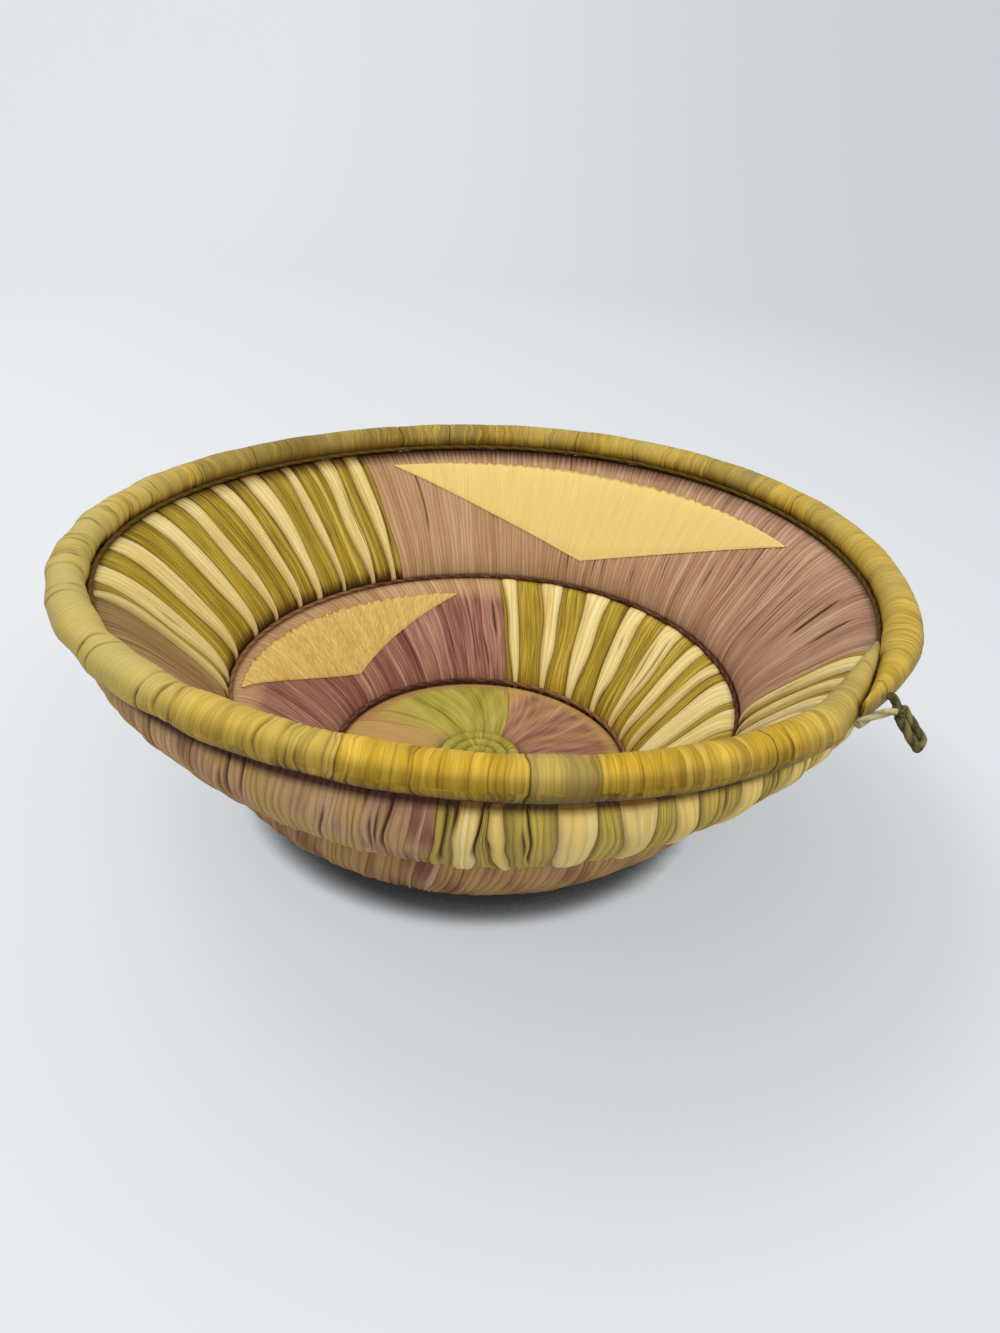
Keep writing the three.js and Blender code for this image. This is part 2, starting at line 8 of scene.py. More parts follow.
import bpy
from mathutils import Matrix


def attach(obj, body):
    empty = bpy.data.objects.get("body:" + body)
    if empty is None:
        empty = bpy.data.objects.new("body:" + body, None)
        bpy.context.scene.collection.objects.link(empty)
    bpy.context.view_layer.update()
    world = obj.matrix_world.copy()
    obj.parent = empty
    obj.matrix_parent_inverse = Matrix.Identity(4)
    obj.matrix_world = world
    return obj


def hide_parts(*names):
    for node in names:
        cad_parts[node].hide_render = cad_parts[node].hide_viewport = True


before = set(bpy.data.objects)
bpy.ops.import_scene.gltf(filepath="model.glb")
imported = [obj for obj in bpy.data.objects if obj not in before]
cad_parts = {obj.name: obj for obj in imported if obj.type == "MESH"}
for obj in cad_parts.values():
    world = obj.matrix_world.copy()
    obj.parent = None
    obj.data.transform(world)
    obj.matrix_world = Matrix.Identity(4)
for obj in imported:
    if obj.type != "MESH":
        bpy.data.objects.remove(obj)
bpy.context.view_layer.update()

import math

import bpy
import numpy as np
from mathutils import Matrix, Vector

bl_info = {
    "name": "Coiled raffia basket",
    "version": (1, 0, 0),
    "blender": (4, 5, 0),
    "location": "View3D > Sidebar > Basket",
    "description": "Builds a coiled basket strand by strand round its packed solids",
    "category": "Add Mesh",
}

MM = 0.001

# Overall size and rings, as in the solids
RIM_RADIUS = 150.0
HEIGHT = 104.4
CENTRE_COIL_RADIUS = 2.55
CENTRE_COIL_PITCH = 5.0
CENTRE_COIL_TURNS = 3
CENTRE_COIL_HEIGHT = 6.3
COIL_END_ANGLE = 25.0
BASE_RADIUS = 61.2
BASE_THICKNESS = 9.0
BASE_CUT = 0.8
STEP_RADIUS = 99.2
STEP_HEIGHT = 42.9
BAND_INSIDE_SWELL = 6.0
LOWER_OUTSIDE_SWELL = 14.6
UPPER_OUTSIDE_SWELL = 8.6
HEEL_HEIGHT = 5.0
RIM_COIL_WIDTH = 12.2
RIM_COIL_HEIGHT = 11.8
RING_GAP = 0.4

# A section's two faces are full curves: its share along follows the cosine of the turn, to this power
SECTION_POWER = 2 / 3

# The two tapered ends of the rim coil, side by side at the right
RIM_START = -17.0
SCARF_ANGLE = 28.0
SCARF_GAP = 0.6
START_THIN_FROM = 0.25
START_WRAPPED_FROM = 0.5
FINISH_WRAPPED_TO = 0.62
FINISH_THIN_TO = 0.85
SCARF_BEND = 1.6
SCARF_SLIMMEST = 0.6
SCARF_BULGE = 1.5
SCARF_BULGE_WIDTH = 10.0
FINISH_DRAWN_IN = 2.0
START_FULLER = 3.4
START_FULLER_AT = 13.5
START_FULLER_WIDTH = 13.0

# The hand-made shape
OVAL = 0.035
OVAL_TOWARD = 40.5
WAVE = 2.1
WAVE_TOWARD = 53.8
LOWER_FULLER = 2.6
LOWER_FULLER_TOWARD = 180.0
UPPER_FULLER = 3.6
UPPER_FULLER_TOWARD = -113.0

# How far the raffia leans between the edges of a band, in degrees, and how far the base's is turned as well
BASE_LEAN = 15.0
BASE_TURNED = -6.5
LOWER_LEAN = 8.0
UPPER_LEAN = 3.5
DRAWN_ASIDE = 16.0
DRAWN_AT = -40.0
DRAWN_WIDTH = 42.0
PUSHED_ASIDE = 6.5
PUSHED_AT = -125.0
PUSHED_WIDTH = 24.0

# Cream strips: the angle of each one's middle line and its width, in degrees
UPPER_LEFT_STRIPS = (
    (122.7, 2.7), (129.0, 3.0), (137.7, 1.9), (145.8, 3.3), (153.3, 2.7),
    (162.9, 2.8), (172.0, 3.8), (184.0, 4.3), (195.0, 4.7), (201.6, 1.7),
)
UPPER_NEAR_STRIPS = (
    (-90.6, 3.0), (-85.5, 1.5), (-77.5, 3.0), (-70.2, 2.0), (-60.5, 2.8), (-51.0, 2.8),
    (-42.0, 2.8), (-35.5, 2.8), (-29.0, 2.8), (-22.5, 2.5), (-16.0, 3.2),
)
LOWER_STRIPS = (
    (-41.0, 5.0), (-31.0, 4.5), (-22.0, 4.0), (-10.8, 7.0), (1.3, 8.0), (12.6, 3.4),
    (22.0, 4.0), (32.0, 5.5), (45.0, 5.0), (57.9, 5.8), (71.1, 4.3), (83.3, 3.3),
)

# How wide a strip is along the band, as a share of its width: it runs to a slim end at the low edge
STRIP_WIDE = 1.12
STRIP_WIDENS = 0.1
STRIP_TAPER = 0.5

# On the outside some near strips lie elsewhere: by the middle line's angle, how far each is moved in degrees
# at its top and at its foot, and how much wider it is at each
UNDER_STRIPS = {
    -90.6: (-0.3, 0.6, 0.7, 1.0), -85.5: (-2.7, 2.0, 0.9, 1.2),
    -77.5: (1.0, 0.4, 1.5, 1.4), -70.2: (3.0, 1.2, 2.2, 1.4),
}

# Where each wrapped sector starts, and where the last one of its run ends
UPPER_NEAR_SECTORS = (-94.5, -56.0, -12.5)
UPPER_BACK_SECTORS = (-12.5, 31.7, 75.8, 120.0)
UPPER_LEFT_SECTORS = (120.0, 158.0, 203.5)
UPPER_FRONT_LEFT_SECTORS = (203.5, 234.5, 265.5)
LOWER_STRIPED_SECTORS = (-49.0, -5.0, 38.5, 86.5)
LOWER_MAUVE_SECTORS = (86.5, 131.4, 176.3, 221.2, 266.1, 311.0)
BASE_SECTORS = (82.0, 163.0, 302.5, 442.0)

# Splits between strands: an angle, the shares of the band's width where each begins and ends, and its depth
UPPER_SPLITS = (
    (-2.8, 0.6, 0.85, 0.95), (4.2, 0.5, 0.83, 1.0), (19.5, 0.64, 0.84, 0.6), (23.3, 0.3, 0.5, 0.4),
    (48.0, 0.2, 0.4, 0.4), (31.0, 0.35, 0.6, 0.4),
)
LOWER_SPLITS = (
    (97.0, 0.25, 0.6, 0.4), (189.0, 0.4, 0.6, 0.4), (90.4, 0.45, 0.75, 0.75), (93.6, 0.15, 0.4, 0.5),
    (110.0, 0.2, 0.5, 0.4),
)

# Cream triangles: each corner as an angle and a share of the band's width, and how far each low edge bows
UPPER_TRIANGLE = {
    "left": (116.0, 0.87), "right": (25.0, 0.83), "point": (69.5, 0.186), "bows": (0.075, 0.075),
}
LOWER_TRIANGLE = {
    "left": (194.0, 0.93), "right": (102.5, 0.81), "point": (148.0, 0.28), "bows": (0.09, 0.033),
}

# Where the rim's raffia runs out and a new length starts, in degrees of travel
RIM_JOINTS = (40.0, 68.0, 86.0, 117.0, 160.0, 198.0, 230.0, 240.0, 265.5, 312.0, 358.8)
RIM_DARK_JOINTS = (68.0, 86.0)
RIM_LUMPY_AT = 135.0
RIM_LUMPY_WIDTH = 45.0

# How the rim's colour varies: a travel, how much khaki is in the gold there, and how light it is. The
# lightness is partly dye and partly painted light: lighter at the near left and darker at the back left.
RIM_TINTS = (
    (0, 1.0, -0.6), (12, 0.9, -0.8), (18, 0.7, -0.8), (30, 0.4, -0.2), (38, 0.15, 0.0), (59, 0.08, 0.1),
    (62, 0.5, -1.6), (67.5, 0.45, -1.6), (68.5, 0.0, 0.5), (85.5, 0.0, 0.5), (86.5, 0.3, 0.4),
    (100, 0.45, 0.5), (113, 0.9, 2.3), (140, 0.95, 2.2), (165, 0.75, 1.2), (185, 0.5, -0.6),
    (199, 0.35, -2.4), (215, 0.3, -1.8), (240, 0.3, -1.5), (262, 0.4, -0.6), (288, 0.5, 0.0),
    (301, 0.4, -1.3), (308, 0.4, 0.0), (345, 0.5, 0.0), (365, 0.25, 0.2), (388, 0.2, 0.2),
)

# Hanging loop. A place is a radius, an angle and a height, and the two fixed strands run from the rim through
# theirs to the knot. A pitch is the length of one turn of the strand's twist.
KNOT = (150.2, -36.6, 98.0)
KNOT_SIZE = 2.3
KNOT_GAP = 0.3
STRAND_RADIUS = 1.35
EYE_TIP = (158.2, -33.9, 85.2)
EYE_WIDTH = 6.8
EYE_NECK = 3.3
EYE_TURNED = 50.0
EYE_TUCK = 1.0
EYE_FULLER = 1.15
EYE_PITCH = 6.0
STRAND_PITCH = 8.0
KNOT_PITCH = 3.0
LIGHT_STRAND = ((144.5, -42.6, 96.8), (145.5, -40.2, 97.4), (147.8, -38.2, 98.0))
DARK_STRAND = ((145.4, -35.9, 100.4), (147.2, -36.0, 100.3))

# The knot's ball is one thin strand, whose loops swing in and out and are pressed a little flat
KNOT_STRAND_RADIUS = 0.85
KNOT_LOOP = 0.6
KNOT_FLATNESS = 0.8

# Thicknesses of the wraps, and the gap between one wrap and the next
BAND_WRAP = 1.4
RIM_WRAP = 1.0
END_GAP = 0.04

# A seam strand is moved out of its crease by small steps until it is clear of both rings, at a few places
# round the basket, and its points follow these
SEAM_RADIUS = 0.95
SEAM_CLEAR = 0.2
SEAM_PITCH = 7.0
SEAM_STEP = 0.05
SEAM_PLACES = 40
SEAM_POINTS = 360

# The cream panels: how far their back and their face stand off the wrap, how narrow and wide a strand is, how
# high it stands, and how wide one step of the stepped edge is
PANEL_LOW = 0.42
PANEL_HIGH = 0.9
PANEL_STRANDS = (0.9, 1.5)
PANEL_RELIEF = 0.06
PANEL_TOOTH = 2.2
PANEL_ROWS = 22

# The centre coil: how narrow and wide a strand is, how high it stands, and over how many degrees it tapers
COIL_STRANDS = (1.0, 1.8)
COIL_RELIEF = 0.16
COIL_TAPER = 40.0

# Strands on a band: how far they sink beside a strip and over what width, how far in a split, how likely a
# split is between two strands of the wall and right under the rim outside, and how deep each of these is
STRIP_SINKS = 0.35
STRIP_SINKS_OVER = 1.2
SPLIT_SINKS = 1.3
SPLIT_CHANCE = 0.09
UNDER_RIM_CHANCE = 0.13
SMALL_SPLIT = 0.55
UNDER_RIM_SPLIT = 0.8

# How soon the inside face turns into the outside one round a section's edges
FACE_SHARPNESS = 3

# The rim's narrowest strand as a share of the wall's, its joints and grooves with how far they sink and over
# what width, and its lumps
RIM_NARROWER = 0.8
JOINT_DEPTH = 0.4
DARK_JOINT_DEPTH = 0.42
JOINT_SINKS = 0.4
JOINT_WIDTH = 0.5
GROOVE_SINKS = 0.9
GROOVE_WIDTH = 0.4
GROOVE_CHANCE = 0.2
RIM_LUMP = 0.1
RIM_SMALL_LUMP = 0.07

# How many points go round each section. Only every fourth goes round the hidden inside of a sleeve
BASE_SIDES = 40
LOWER_SIDES = 56
UPPER_SIDES = 60
RIM_SIDES = 32
COIL_SIDES = 18
STRING_SIDES = 14
STRING_STEPS = 8
SEAM_SIDES = 8
EVERY_COLUMN = slice(None)
SPARSE_COLUMNS = slice(None, None, 4)

# Where each group's random draws start. Each piece of a group adds its number
COIL_SEED = 11
BASE_SEED = 20
LOWER_STRIPES_SEED = 30
LOWER_MAUVE_SEED = 40
UPPER_SEED = 50
RIM_SEED = 100
RIM_ENDS_SEED = 120
UPPER_TRIANGLE_SEED = 5
LOWER_TRIANGLE_SEED = 6

# The camera, in mm and degrees, and the lamps, in metres
CAMERA_PLACE = (3.83, -342.11, 241.60)
CAMERA_PITCH = 29.25
CAMERA_ROLL = 5.39
CAMERA_FRAME = 36
KEY_PLACE = (0.8, -1.5, 1.7)
BACK_LIGHT_PLACE = (-1.2, 0.9, 2.4)
LAMP_SIZE = 1.4

# The paper sweep, in metres: a floor with a wall behind it and a curve between them
SWEEP_HALF_WIDTH = 4.0
SWEEP_FLOOR = (-3.0, -1.5, -0.6, 0.0, 0.6, 1.3)
SWEEP_CURVE = 0.9
SWEEP_WALL = (2.0, 3.6)


def srgb(code):
    """The red, green and blue of a hex colour, as it is written."""
    return tuple(int(code[i:i + 2], 16) / 255 for i in (1, 3, 5))


def linear(colour):
    """A hex colour, or one as it is written, turned to linear light for a shader."""
    parts = srgb(colour) if isinstance(colour, str) else colour
    return tuple(c / 12.92 if c <= 0.04045 else ((c + 0.055) / 1.055) ** 2.4 for c in parts) + (1.0,)


def unit(vector):
    """The vector's direction, one long."""
    return vector / np.linalg.norm(vector)


def stacked(*parts):
    """Arrays that widen to one shape, side by side in the last axis of one array."""
    return np.stack(np.broadcast_arrays(*parts), axis=-1)


# The shape of the basket

def shaped(radius, angle, height):
    """Points of the basket in space, moved by the hand-made shape. The base stays flat."""
    share = radius / RIM_RADIUS
    climb = np.maximum(0, (radius - BASE_RADIUS) / (RIM_RADIUS - BASE_RADIUS))
    oval = 1 + OVAL * share * np.cos(np.radians(2 * (angle - OVAL_TOWARD)))
    wave = WAVE * climb * np.cos(np.radians(2 * (angle - WAVE_TOWARD)))
    turned = np.radians(angle)
    return stacked(radius * oval * np.cos(turned), radius * oval * np.sin(turned), height + wave)


def hill(angle, middle, width):
    """1 round an angle and 0 far from it, with a flat top."""
    away = (angle - middle + 180) % 360 - 180
    return np.exp(-(away / width) ** 4)


def evenly(amount):
    """A function that gives the same amount at every angle."""
    return lambda angle: amount + 0 * angle


nowhere = evenly(0.0)


def upper_lean(angle):
    """How far the upper band's strands lean: drawn aside at the right and pushed aside at the near left."""
    drawn = DRAWN_ASIDE * hill(angle, DRAWN_AT, DRAWN_WIDTH)
    return UPPER_LEAN - drawn + PUSHED_ASIDE * hill(angle, PUSHED_AT, PUSHED_WIDTH)


def sandier_at_back_left(angle):
    """How much paler and sandier the upper band's mauve is: most at the back left."""
    return 0.1 + 0.4 * (0.5 + 0.5 * np.cos(np.radians(angle - 150)))


def base_sandy(angle):
    """How much the base's mauve has faded: most where it meets the olive at the left."""
    return 0.2 + 0.7 * hill(angle, 163, 26) + 0.5 * hill(angle, 80, 9)


def olive_sandy(angle):
    """How much the base's olive has faded to tan: only where it meets the mauve at the left."""
    return 0.8 * hill(angle, 170, 24)


def weathered(angle):
    """How far the upper band has browned, beside the last of its left strips."""
    return hill(angle, 212, 9.5)


def rim_shaded(angle):
    """How much painted shadow the rim casts on the upper band's inside right under it: most at the back."""
    return 0.1 + 0.75 * hill(angle, 103, 62)


def follow_coil(angle):
    """How far the base ring reaches in to the last turn of the centre coil."""
    past = np.mod(angle, 360)
    return CENTRE_COIL_PITCH * (1 - past / 360) * np.clip(past / COIL_END_ANGLE, 0, 1)


def ease(low, high, value):
    """0 below low, 1 above high, and a smooth rise between them."""
    share = np.clip((value - low) / (high - low), 0, 1)
    return share * share * (3 - 2 * share)


def wander(angle, along):
    """A slow sideways drift of the strands in mm, alike on both sides of any joint."""
    slow = 0.5 * np.sin(np.radians(9 * angle) + 2.1 * along)
    middling = 0.32 * np.sin(np.radians(31 * angle) + 3.9 * along + 1)
    return slow + middling + 0.2 * np.sin(np.radians(97 * angle) - 5.3 * along)


def section_share(turn):
    """How far along a ring's section a turn lies: -1 at its low edge and 1 at its high edge."""
    cos = np.cos(turn)
    return np.sign(cos) * np.abs(cos) ** SECTION_POWER


def share_turn(share):
    """The turn on the inside face at a share of the band's width from its low edge."""
    along = 2 * np.asarray(share) - 1
    return np.arccos(np.clip(np.sign(along) * np.abs(along) ** (1 / SECTION_POWER), -1, 1))


class Ring:
    """One wrapped ring of the wall or base, by the low and high edge of its section."""

    def __init__(self, low, high, inside, outside, lean=nowhere, fuller=0.0, toward=0.0, inward=nowhere,
                 relief=1.0, swell=(0.15, 0.15), under_rim=False, turned=0.0):
        low, high = np.array(low), np.array(high)
        span = np.linalg.norm(high - low)
        self.along = (high - low) / span
        self.across = np.array((-self.along[1], self.along[0]))
        self.middle = (low + high) / 2
        self.length = span - RING_GAP
        self.inside, self.outside = inside, outside
        # How far its strands lean and how far its outside bulges more, and where
        self.lean, self.fuller, self.toward = lean, fuller, toward
        # How far it reaches in, how far its strands are turned, and whether the rim lies on it
        self.inward, self.turned, self.under_rim = inward, turned, under_rim
        # How high its strands stand, and how far its two edges swell into the creases
        self.relief, self.swell = relief, swell

    def section(self, angle, turn, lift=0.0):
        """Radius and height of the face at a turn round the section, lifted along its normal."""
        share, sin = section_share(turn), np.sin(turn)
        outside = self.outside + self.fuller * np.cos(np.radians(angle - self.toward))
        depth = np.where(sin > 0, self.inside, outside)
        inward = self.inward(angle)
        half = (self.length + inward) / 2
        # The outline is |share| cubed plus sin squared equals one, and its gradient is the way out
        up, out = 3 * share * np.abs(share) / half, 2 * sin / depth
        size = np.hypot(up, out) + 1e-9
        along = share * half - inward / 2 + lift * up / size
        across = sin * depth + lift * out / size
        radius = self.middle[0] + self.along[0] * along + self.across[0] * across
        height = self.middle[1] + self.along[1] * along + self.across[1] * across
        return radius, np.maximum(height, 0)

    def place(self, angle, turn, lift):
        """Points of the face in space."""
        radius, height = self.section(angle, turn, lift)
        return shaped(radius, angle, height)

    def turns(self, count):
        """Turns that lie evenly round the section where its outside is neither fuller nor flatter.

        With each comes how many mm round the section it lies."""
        fine = np.linspace(0, 2 * np.pi, 4001)
        radius, height = self.section(self.toward + 90, fine)
        walked = np.concatenate(([0], np.cumsum(np.hypot(np.diff(radius), np.diff(height)))))
        places = np.linspace(0, walked[-1], count, endpoint=False)
        return np.interp(places, walked, fine), places


rim_centre = np.array((RIM_RADIUS - RIM_COIL_WIDTH / 2, HEIGHT - RIM_COIL_HEIGHT / 2))
step = np.array((STEP_RADIUS, STEP_HEIGHT))
heel = np.array((BASE_RADIUS, HEEL_HEIGHT))
rise_to_rim = rim_centre - step
rim_distance = np.linalg.norm(rise_to_rim)
under_rim = step + rise_to_rim * (rim_distance - RIM_COIL_WIDTH / 2 - RING_GAP) / rim_distance
centre_inner = CENTRE_COIL_RADIUS * 1.2
centre_outer = centre_inner + CENTRE_COIL_PITCH * CENTRE_COIL_TURNS
centre_outer += CENTRE_COIL_RADIUS * math.cos(math.pi / 6)

BASE = Ring(
    (centre_outer + RING_GAP, BASE_THICKNESS / 2), (BASE_RADIUS, BASE_THICKNESS / 2),
    BASE_THICKNESS / 2, BASE_THICKNESS / 2 + BASE_CUT, evenly(BASE_LEAN), inward=follow_coil, relief=0.16,
    turned=BASE_TURNED,
)
LOWER = Ring(
    heel, step, BAND_INSIDE_SWELL, LOWER_OUTSIDE_SWELL, evenly(LOWER_LEAN), LOWER_FULLER, LOWER_FULLER_TOWARD,
)
UPPER = Ring(
    step, under_rim, BAND_INSIDE_SWELL, UPPER_OUTSIDE_SWELL, upper_lean, UPPER_FULLER, UPPER_FULLER_TOWARD,
    swell=(0.15, 0.4), under_rim=True,
)


def rim_place(travel, turn, lift):
    """Points of the rim coil. travel is in degrees from its thin start, which lies inside its thin finish."""
    start = np.clip(travel / SCARF_ANGLE, 0, 1)
    finish = np.clip((travel - 360) / SCARF_ANGLE, 0, 1)
    share = np.minimum(start, 1 - finish)
    far_inside = rim_centre[0] - RIM_COIL_WIDTH / 2
    bulge = SCARF_BULGE * np.exp(-((travel - 360) / SCARF_BULGE_WIDTH) ** 2)
    fuller = START_FULLER * np.exp(-((travel - START_FULLER_AT) / START_FULLER_WIDTH) ** 2)
    inner = far_inside + finish ** SCARF_BEND * RIM_COIL_WIDTH - fuller
    outer = far_inside + start ** SCARF_BEND * RIM_COIL_WIDTH + bulge - FINISH_DRAWN_IN * finish ** 2
    half_width = np.maximum((outer - inner - np.where(share < 1, SCARF_GAP, 0)) / 2, SCARF_SLIMMEST / 2)
    half_height = RIM_COIL_HEIGHT / 2 * (0.4 + 0.6 * np.sqrt(share))
    raised = RIM_COIL_HEIGHT / 2 - half_height
    across, up = np.cos(turn), np.sin(turn)
    radius = (inner + outer) / 2 + (half_width + lift) * across
    return shaped(radius, RIM_START - travel, rim_centre[1] + raised + (half_height + lift) * up)


# Meshes

class Surface:
    """Points and faces of one piece, gathered patch by patch in millimetres."""

    def __init__(self):
        self.points, self.raffia, self.shade, self.faces = [], [], [], []
        self.count = 0

    def add_points(self, points, raffia, shade):
        """Adds points with what the raffia looks like at each, and gives their numbers in the same layout."""
        layout = points.shape[:-1]
        self.points.append(points.reshape(-1, 3))
        self.raffia.append(np.broadcast_to(raffia, points.shape).reshape(-1, 3))
        self.shade.append(np.broadcast_to(shade, points.shape).reshape(-1, 3))
        number = self.count + np.arange(np.prod(layout)).reshape(layout)
        self.count += number.size
        return number

    def add_faces(self, corners, finish=0, smooth=True):
        """Adds faces by the numbers of their corners, each with its finish's place in the piece's list."""
        corners = corners.reshape(-1, corners.shape[-1])
        finish = np.broadcast_to(finish, len(corners))
        self.faces.append((corners, finish, np.full(len(corners), smooth)))

    def skin(self, number, finish=0, inward=False, round_ring=True):
        """Faces over a grid of points. Its columns close on themselves where round_ring is true."""
        after = np.roll(number, -1, axis=1) if round_ring else number[:, 1:]
        here = number if round_ring else number[:, :-1]
        corners = np.stack((here[:-1], after[:-1], after[1:], here[1:]), axis=-1)
        if inward:
            corners = corners[..., ::-1]
        finish = np.broadcast_to(np.reshape(finish, (-1, 1)), corners.shape[:2]).ravel()
        self.add_faces(corners, finish)

    def fan(self, rim, centre, reverse=False):
        """Faces from one row of points to the point in its middle."""
        corners = np.stack((np.roll(rim, -1), rim, np.full_like(rim, centre)), axis=-1)
        self.add_faces(corners[:, ::-1] if reverse else corners, smooth=False)

    def sleeve(self, place, lift, raffia, shade, wrap, finish=0):
        """A wrap's outside, its sparse inside wrap mm further in, and its two open ends.

        place gives the points for the columns wanted and how far they are lifted."""
        outer = self.add_points(place(EVERY_COLUMN, lift), raffia, shade)
        self.skin(outer, finish)
        inner = self.add_points(
            place(SPARSE_COLUMNS, -wrap), raffia[:, SPARSE_COLUMNS], shade[:, SPARSE_COLUMNS])
        self.skin(inner, inward=True)
        self.collar(outer[0], inner[0])
        self.collar(outer[-1], inner[-1], reverse=True)

    def rod(self, points, middles, raffia, shade):
        """A solid piece with closed ends. middles has the middle of each row of points."""
        number = self.add_points(points, raffia, shade)
        self.skin(number)
        for row, reverse in ((0, False), (-1, True)):
            middle = self.add_points(middles[row][None], raffia[row, 0], shade[row, 0])
            self.fan(number[row], middle[0], reverse)

    def collar(self, outer, inner, reverse=False):
        """Faces between the outer and the inner row at the open end of a sleeve."""
        each = len(outer) // len(inner)
        corners = []
        for j in range(len(inner)):
            near, far = inner[j], inner[(j + 1) % len(inner)]
            row = [outer[(j * each + k) % len(outer)] for k in range(each + 1)]
            half = each // 2
            corners += [(row[k + 1], row[k], near) for k in range(half)]
            corners.append((row[half], near, far))
            corners += [(row[k + 1], row[k], far) for k in range(half, each)]
        corners = np.array(corners)
        self.add_faces(corners[:, ::-1] if reverse else corners, smooth=False)

    def piece(self, name, node, finishes, slot, body="basket"):
        """Makes the object, turned so that its faces point outwards, and lets it stand for its solid."""
        points = np.concatenate(self.points) * MM
        volume = sum(
            np.einsum("ij,ij->i", points[c[:, 0]], np.cross(points[c[:, k]], points[c[:, k + 1]])).sum()
            for c, _, _ in self.faces for k in range(1, c.shape[1] - 1)
        )
        corners = [c[:, ::-1] if volume < 0 else c for c, _, _ in self.faces]
        mesh = bpy.data.meshes.new(name)
        mesh.vertices.add(len(points))
        mesh.vertices.foreach_set("co", points.astype(np.float32).ravel())
        sizes = np.concatenate([np.full(len(c), c.shape[1]) for c in corners])
        mesh.loops.add(int(sizes.sum()))
        mesh.loops.foreach_set("vertex_index", np.concatenate([c.ravel() for c in corners]).astype(np.int32))
        mesh.polygons.add(len(sizes))
        mesh.polygons.foreach_set("loop_start", (np.cumsum(sizes) - sizes).astype(np.int32))
        finish_of, smooth = (np.concatenate([faces[k] for faces in self.faces]) for k in (1, 2))
        mesh.polygons.foreach_set("material_index", finish_of.astype(np.int32))
        mesh.polygons.foreach_set("use_smooth", smooth)
        mesh.update(calc_edges=True)
        for title, values in (("raffia", self.raffia), ("shade", self.shade)):
            layer = mesh.attributes.new(title, "FLOAT_VECTOR", "POINT")
            layer.data.foreach_set("vector", np.concatenate(values).astype(np.float32).ravel())
        if mesh.validate():
            raise RuntimeError(name + " has faces that can't be right")
        piece = bpy.data.objects.new(name, mesh)
        bpy.context.scene.collection.objects.link(piece)
        for finish in finishes:
            mesh.materials.append(finish)
        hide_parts(node)
        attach(piece, body)
        return piece


# How the crest of one strand rises and falls across its width
STRAND_SHARES = (0.0, 0.2, 0.5, 0.8)
STRAND_CREST = (0.0, 0.78, 1.0, 0.78)


def strand_edges(rng, start, end, narrow, wide):
    """Where neighbouring strands meet, from start to end, each between narrow and wide."""
    widths = rng.uniform(narrow, wide, int((end - start) / narrow) + 2)
    edges = start + np.concatenate(([0], np.cumsum(widths)))
    return np.append(edges[edges < end - 0.6 * narrow], end)


def over_strands(edges):
    """Columns of points over strands: where each is, how high on its crest, and its strand's number."""
    count = len(edges) - 1
    place = edges[:-1, None] + np.diff(edges)[:, None] * np.array(STRAND_SHARES)
    strand = np.append(np.repeat(np.arange(count), len(STRAND_SHARES)), count - 1)
    crest = np.append(np.tile(STRAND_CREST, count), 0.0)
    return np.append(place.ravel(), edges[-1])[:, None], crest[:, None], strand


class Strands:
    """Columns of points over strands laid side by side in zones, each zone with its own finish."""

    def __init__(self, rng, zones, per_degree, widths):
        edges, kinds = [], []
        for start, end, kind in zones:
            zone = strand_edges(rng, start * per_degree, end * per_degree, *widths[kind]) / per_degree
            edges += list(zone[:-1])
            kinds += [kind] * (len(zone) - 1)
        self.count, self.per_degree = len(kinds), per_degree
        self.edges = np.array(edges + [zones[-1][1]])
        self.angle, self.crest, self.strand = over_strands(self.edges)
        self.finish = self.spread(kinds)
        self.height = self.spread(rng.uniform(0.55, 1.25, self.count))
        # How light each strand is: a few are much lighter or darker than the rest
        tone, bright = rng.normal(0, 0.36, self.count), rng.random(self.count)
        self.tone = self.spread(tone + (np.where(bright > 0.93, 0.8, 0) - np.where(bright < 0.07, 0.6, 0)))
        # How its lightness drifts along it, and its own place in the noise
        self.drift = self.spread(rng.normal(0, 0.25, self.count))
        self.number = self.spread(rng.uniform(0, 90, self.count))

    def spread(self, values):
        """One value for each strand, given to all its columns."""
        return np.asarray(values)[self.strand][:, None]


def rib(across):
    """The round profile of a raised strip, across its width from 0 to 1."""
    return np.clip(1 - np.abs(2 * across - 1) ** 2.4, 0, 1) ** 0.62


def strip_columns(lay, along, under, middles, inside, ends):
    """Where each column of a striped sector runs, in degrees: a strip is slim where it dips into the crease.

    under is 1 on the outside face, where some strips lie elsewhere."""
    columns = lay.angle + 0 * along
    edges = np.ravel(inside)
    centres = np.repeat(middles, 2)
    moves = [UNDER_STRIPS.get(angle, (0, 0, 1, 1)) for angle in middles]
    top, foot, wide_top, wide_foot = np.repeat(moves, 2, axis=0).T
    known = np.concatenate((ends[:1], edges, ends[1:]))
    for i, share in enumerate(along):
        raised = (share + 1) / 2
        width = STRIP_WIDE + STRIP_WIDENS * share - STRIP_TAPER * ease(0.1, 1.0, -share)
        width = width * (1 + under[i] * (wide_foot + (wide_top - wide_foot) * raised - 1))
        aside = under[i] * (foot + (top - foot) * raised)
        moved = centres + aside + (edges - centres) * width
        columns[:, i] = np.interp(lay.angle[:, 0], known, np.concatenate((ends[:1], moved, ends[1:])))
    return columns


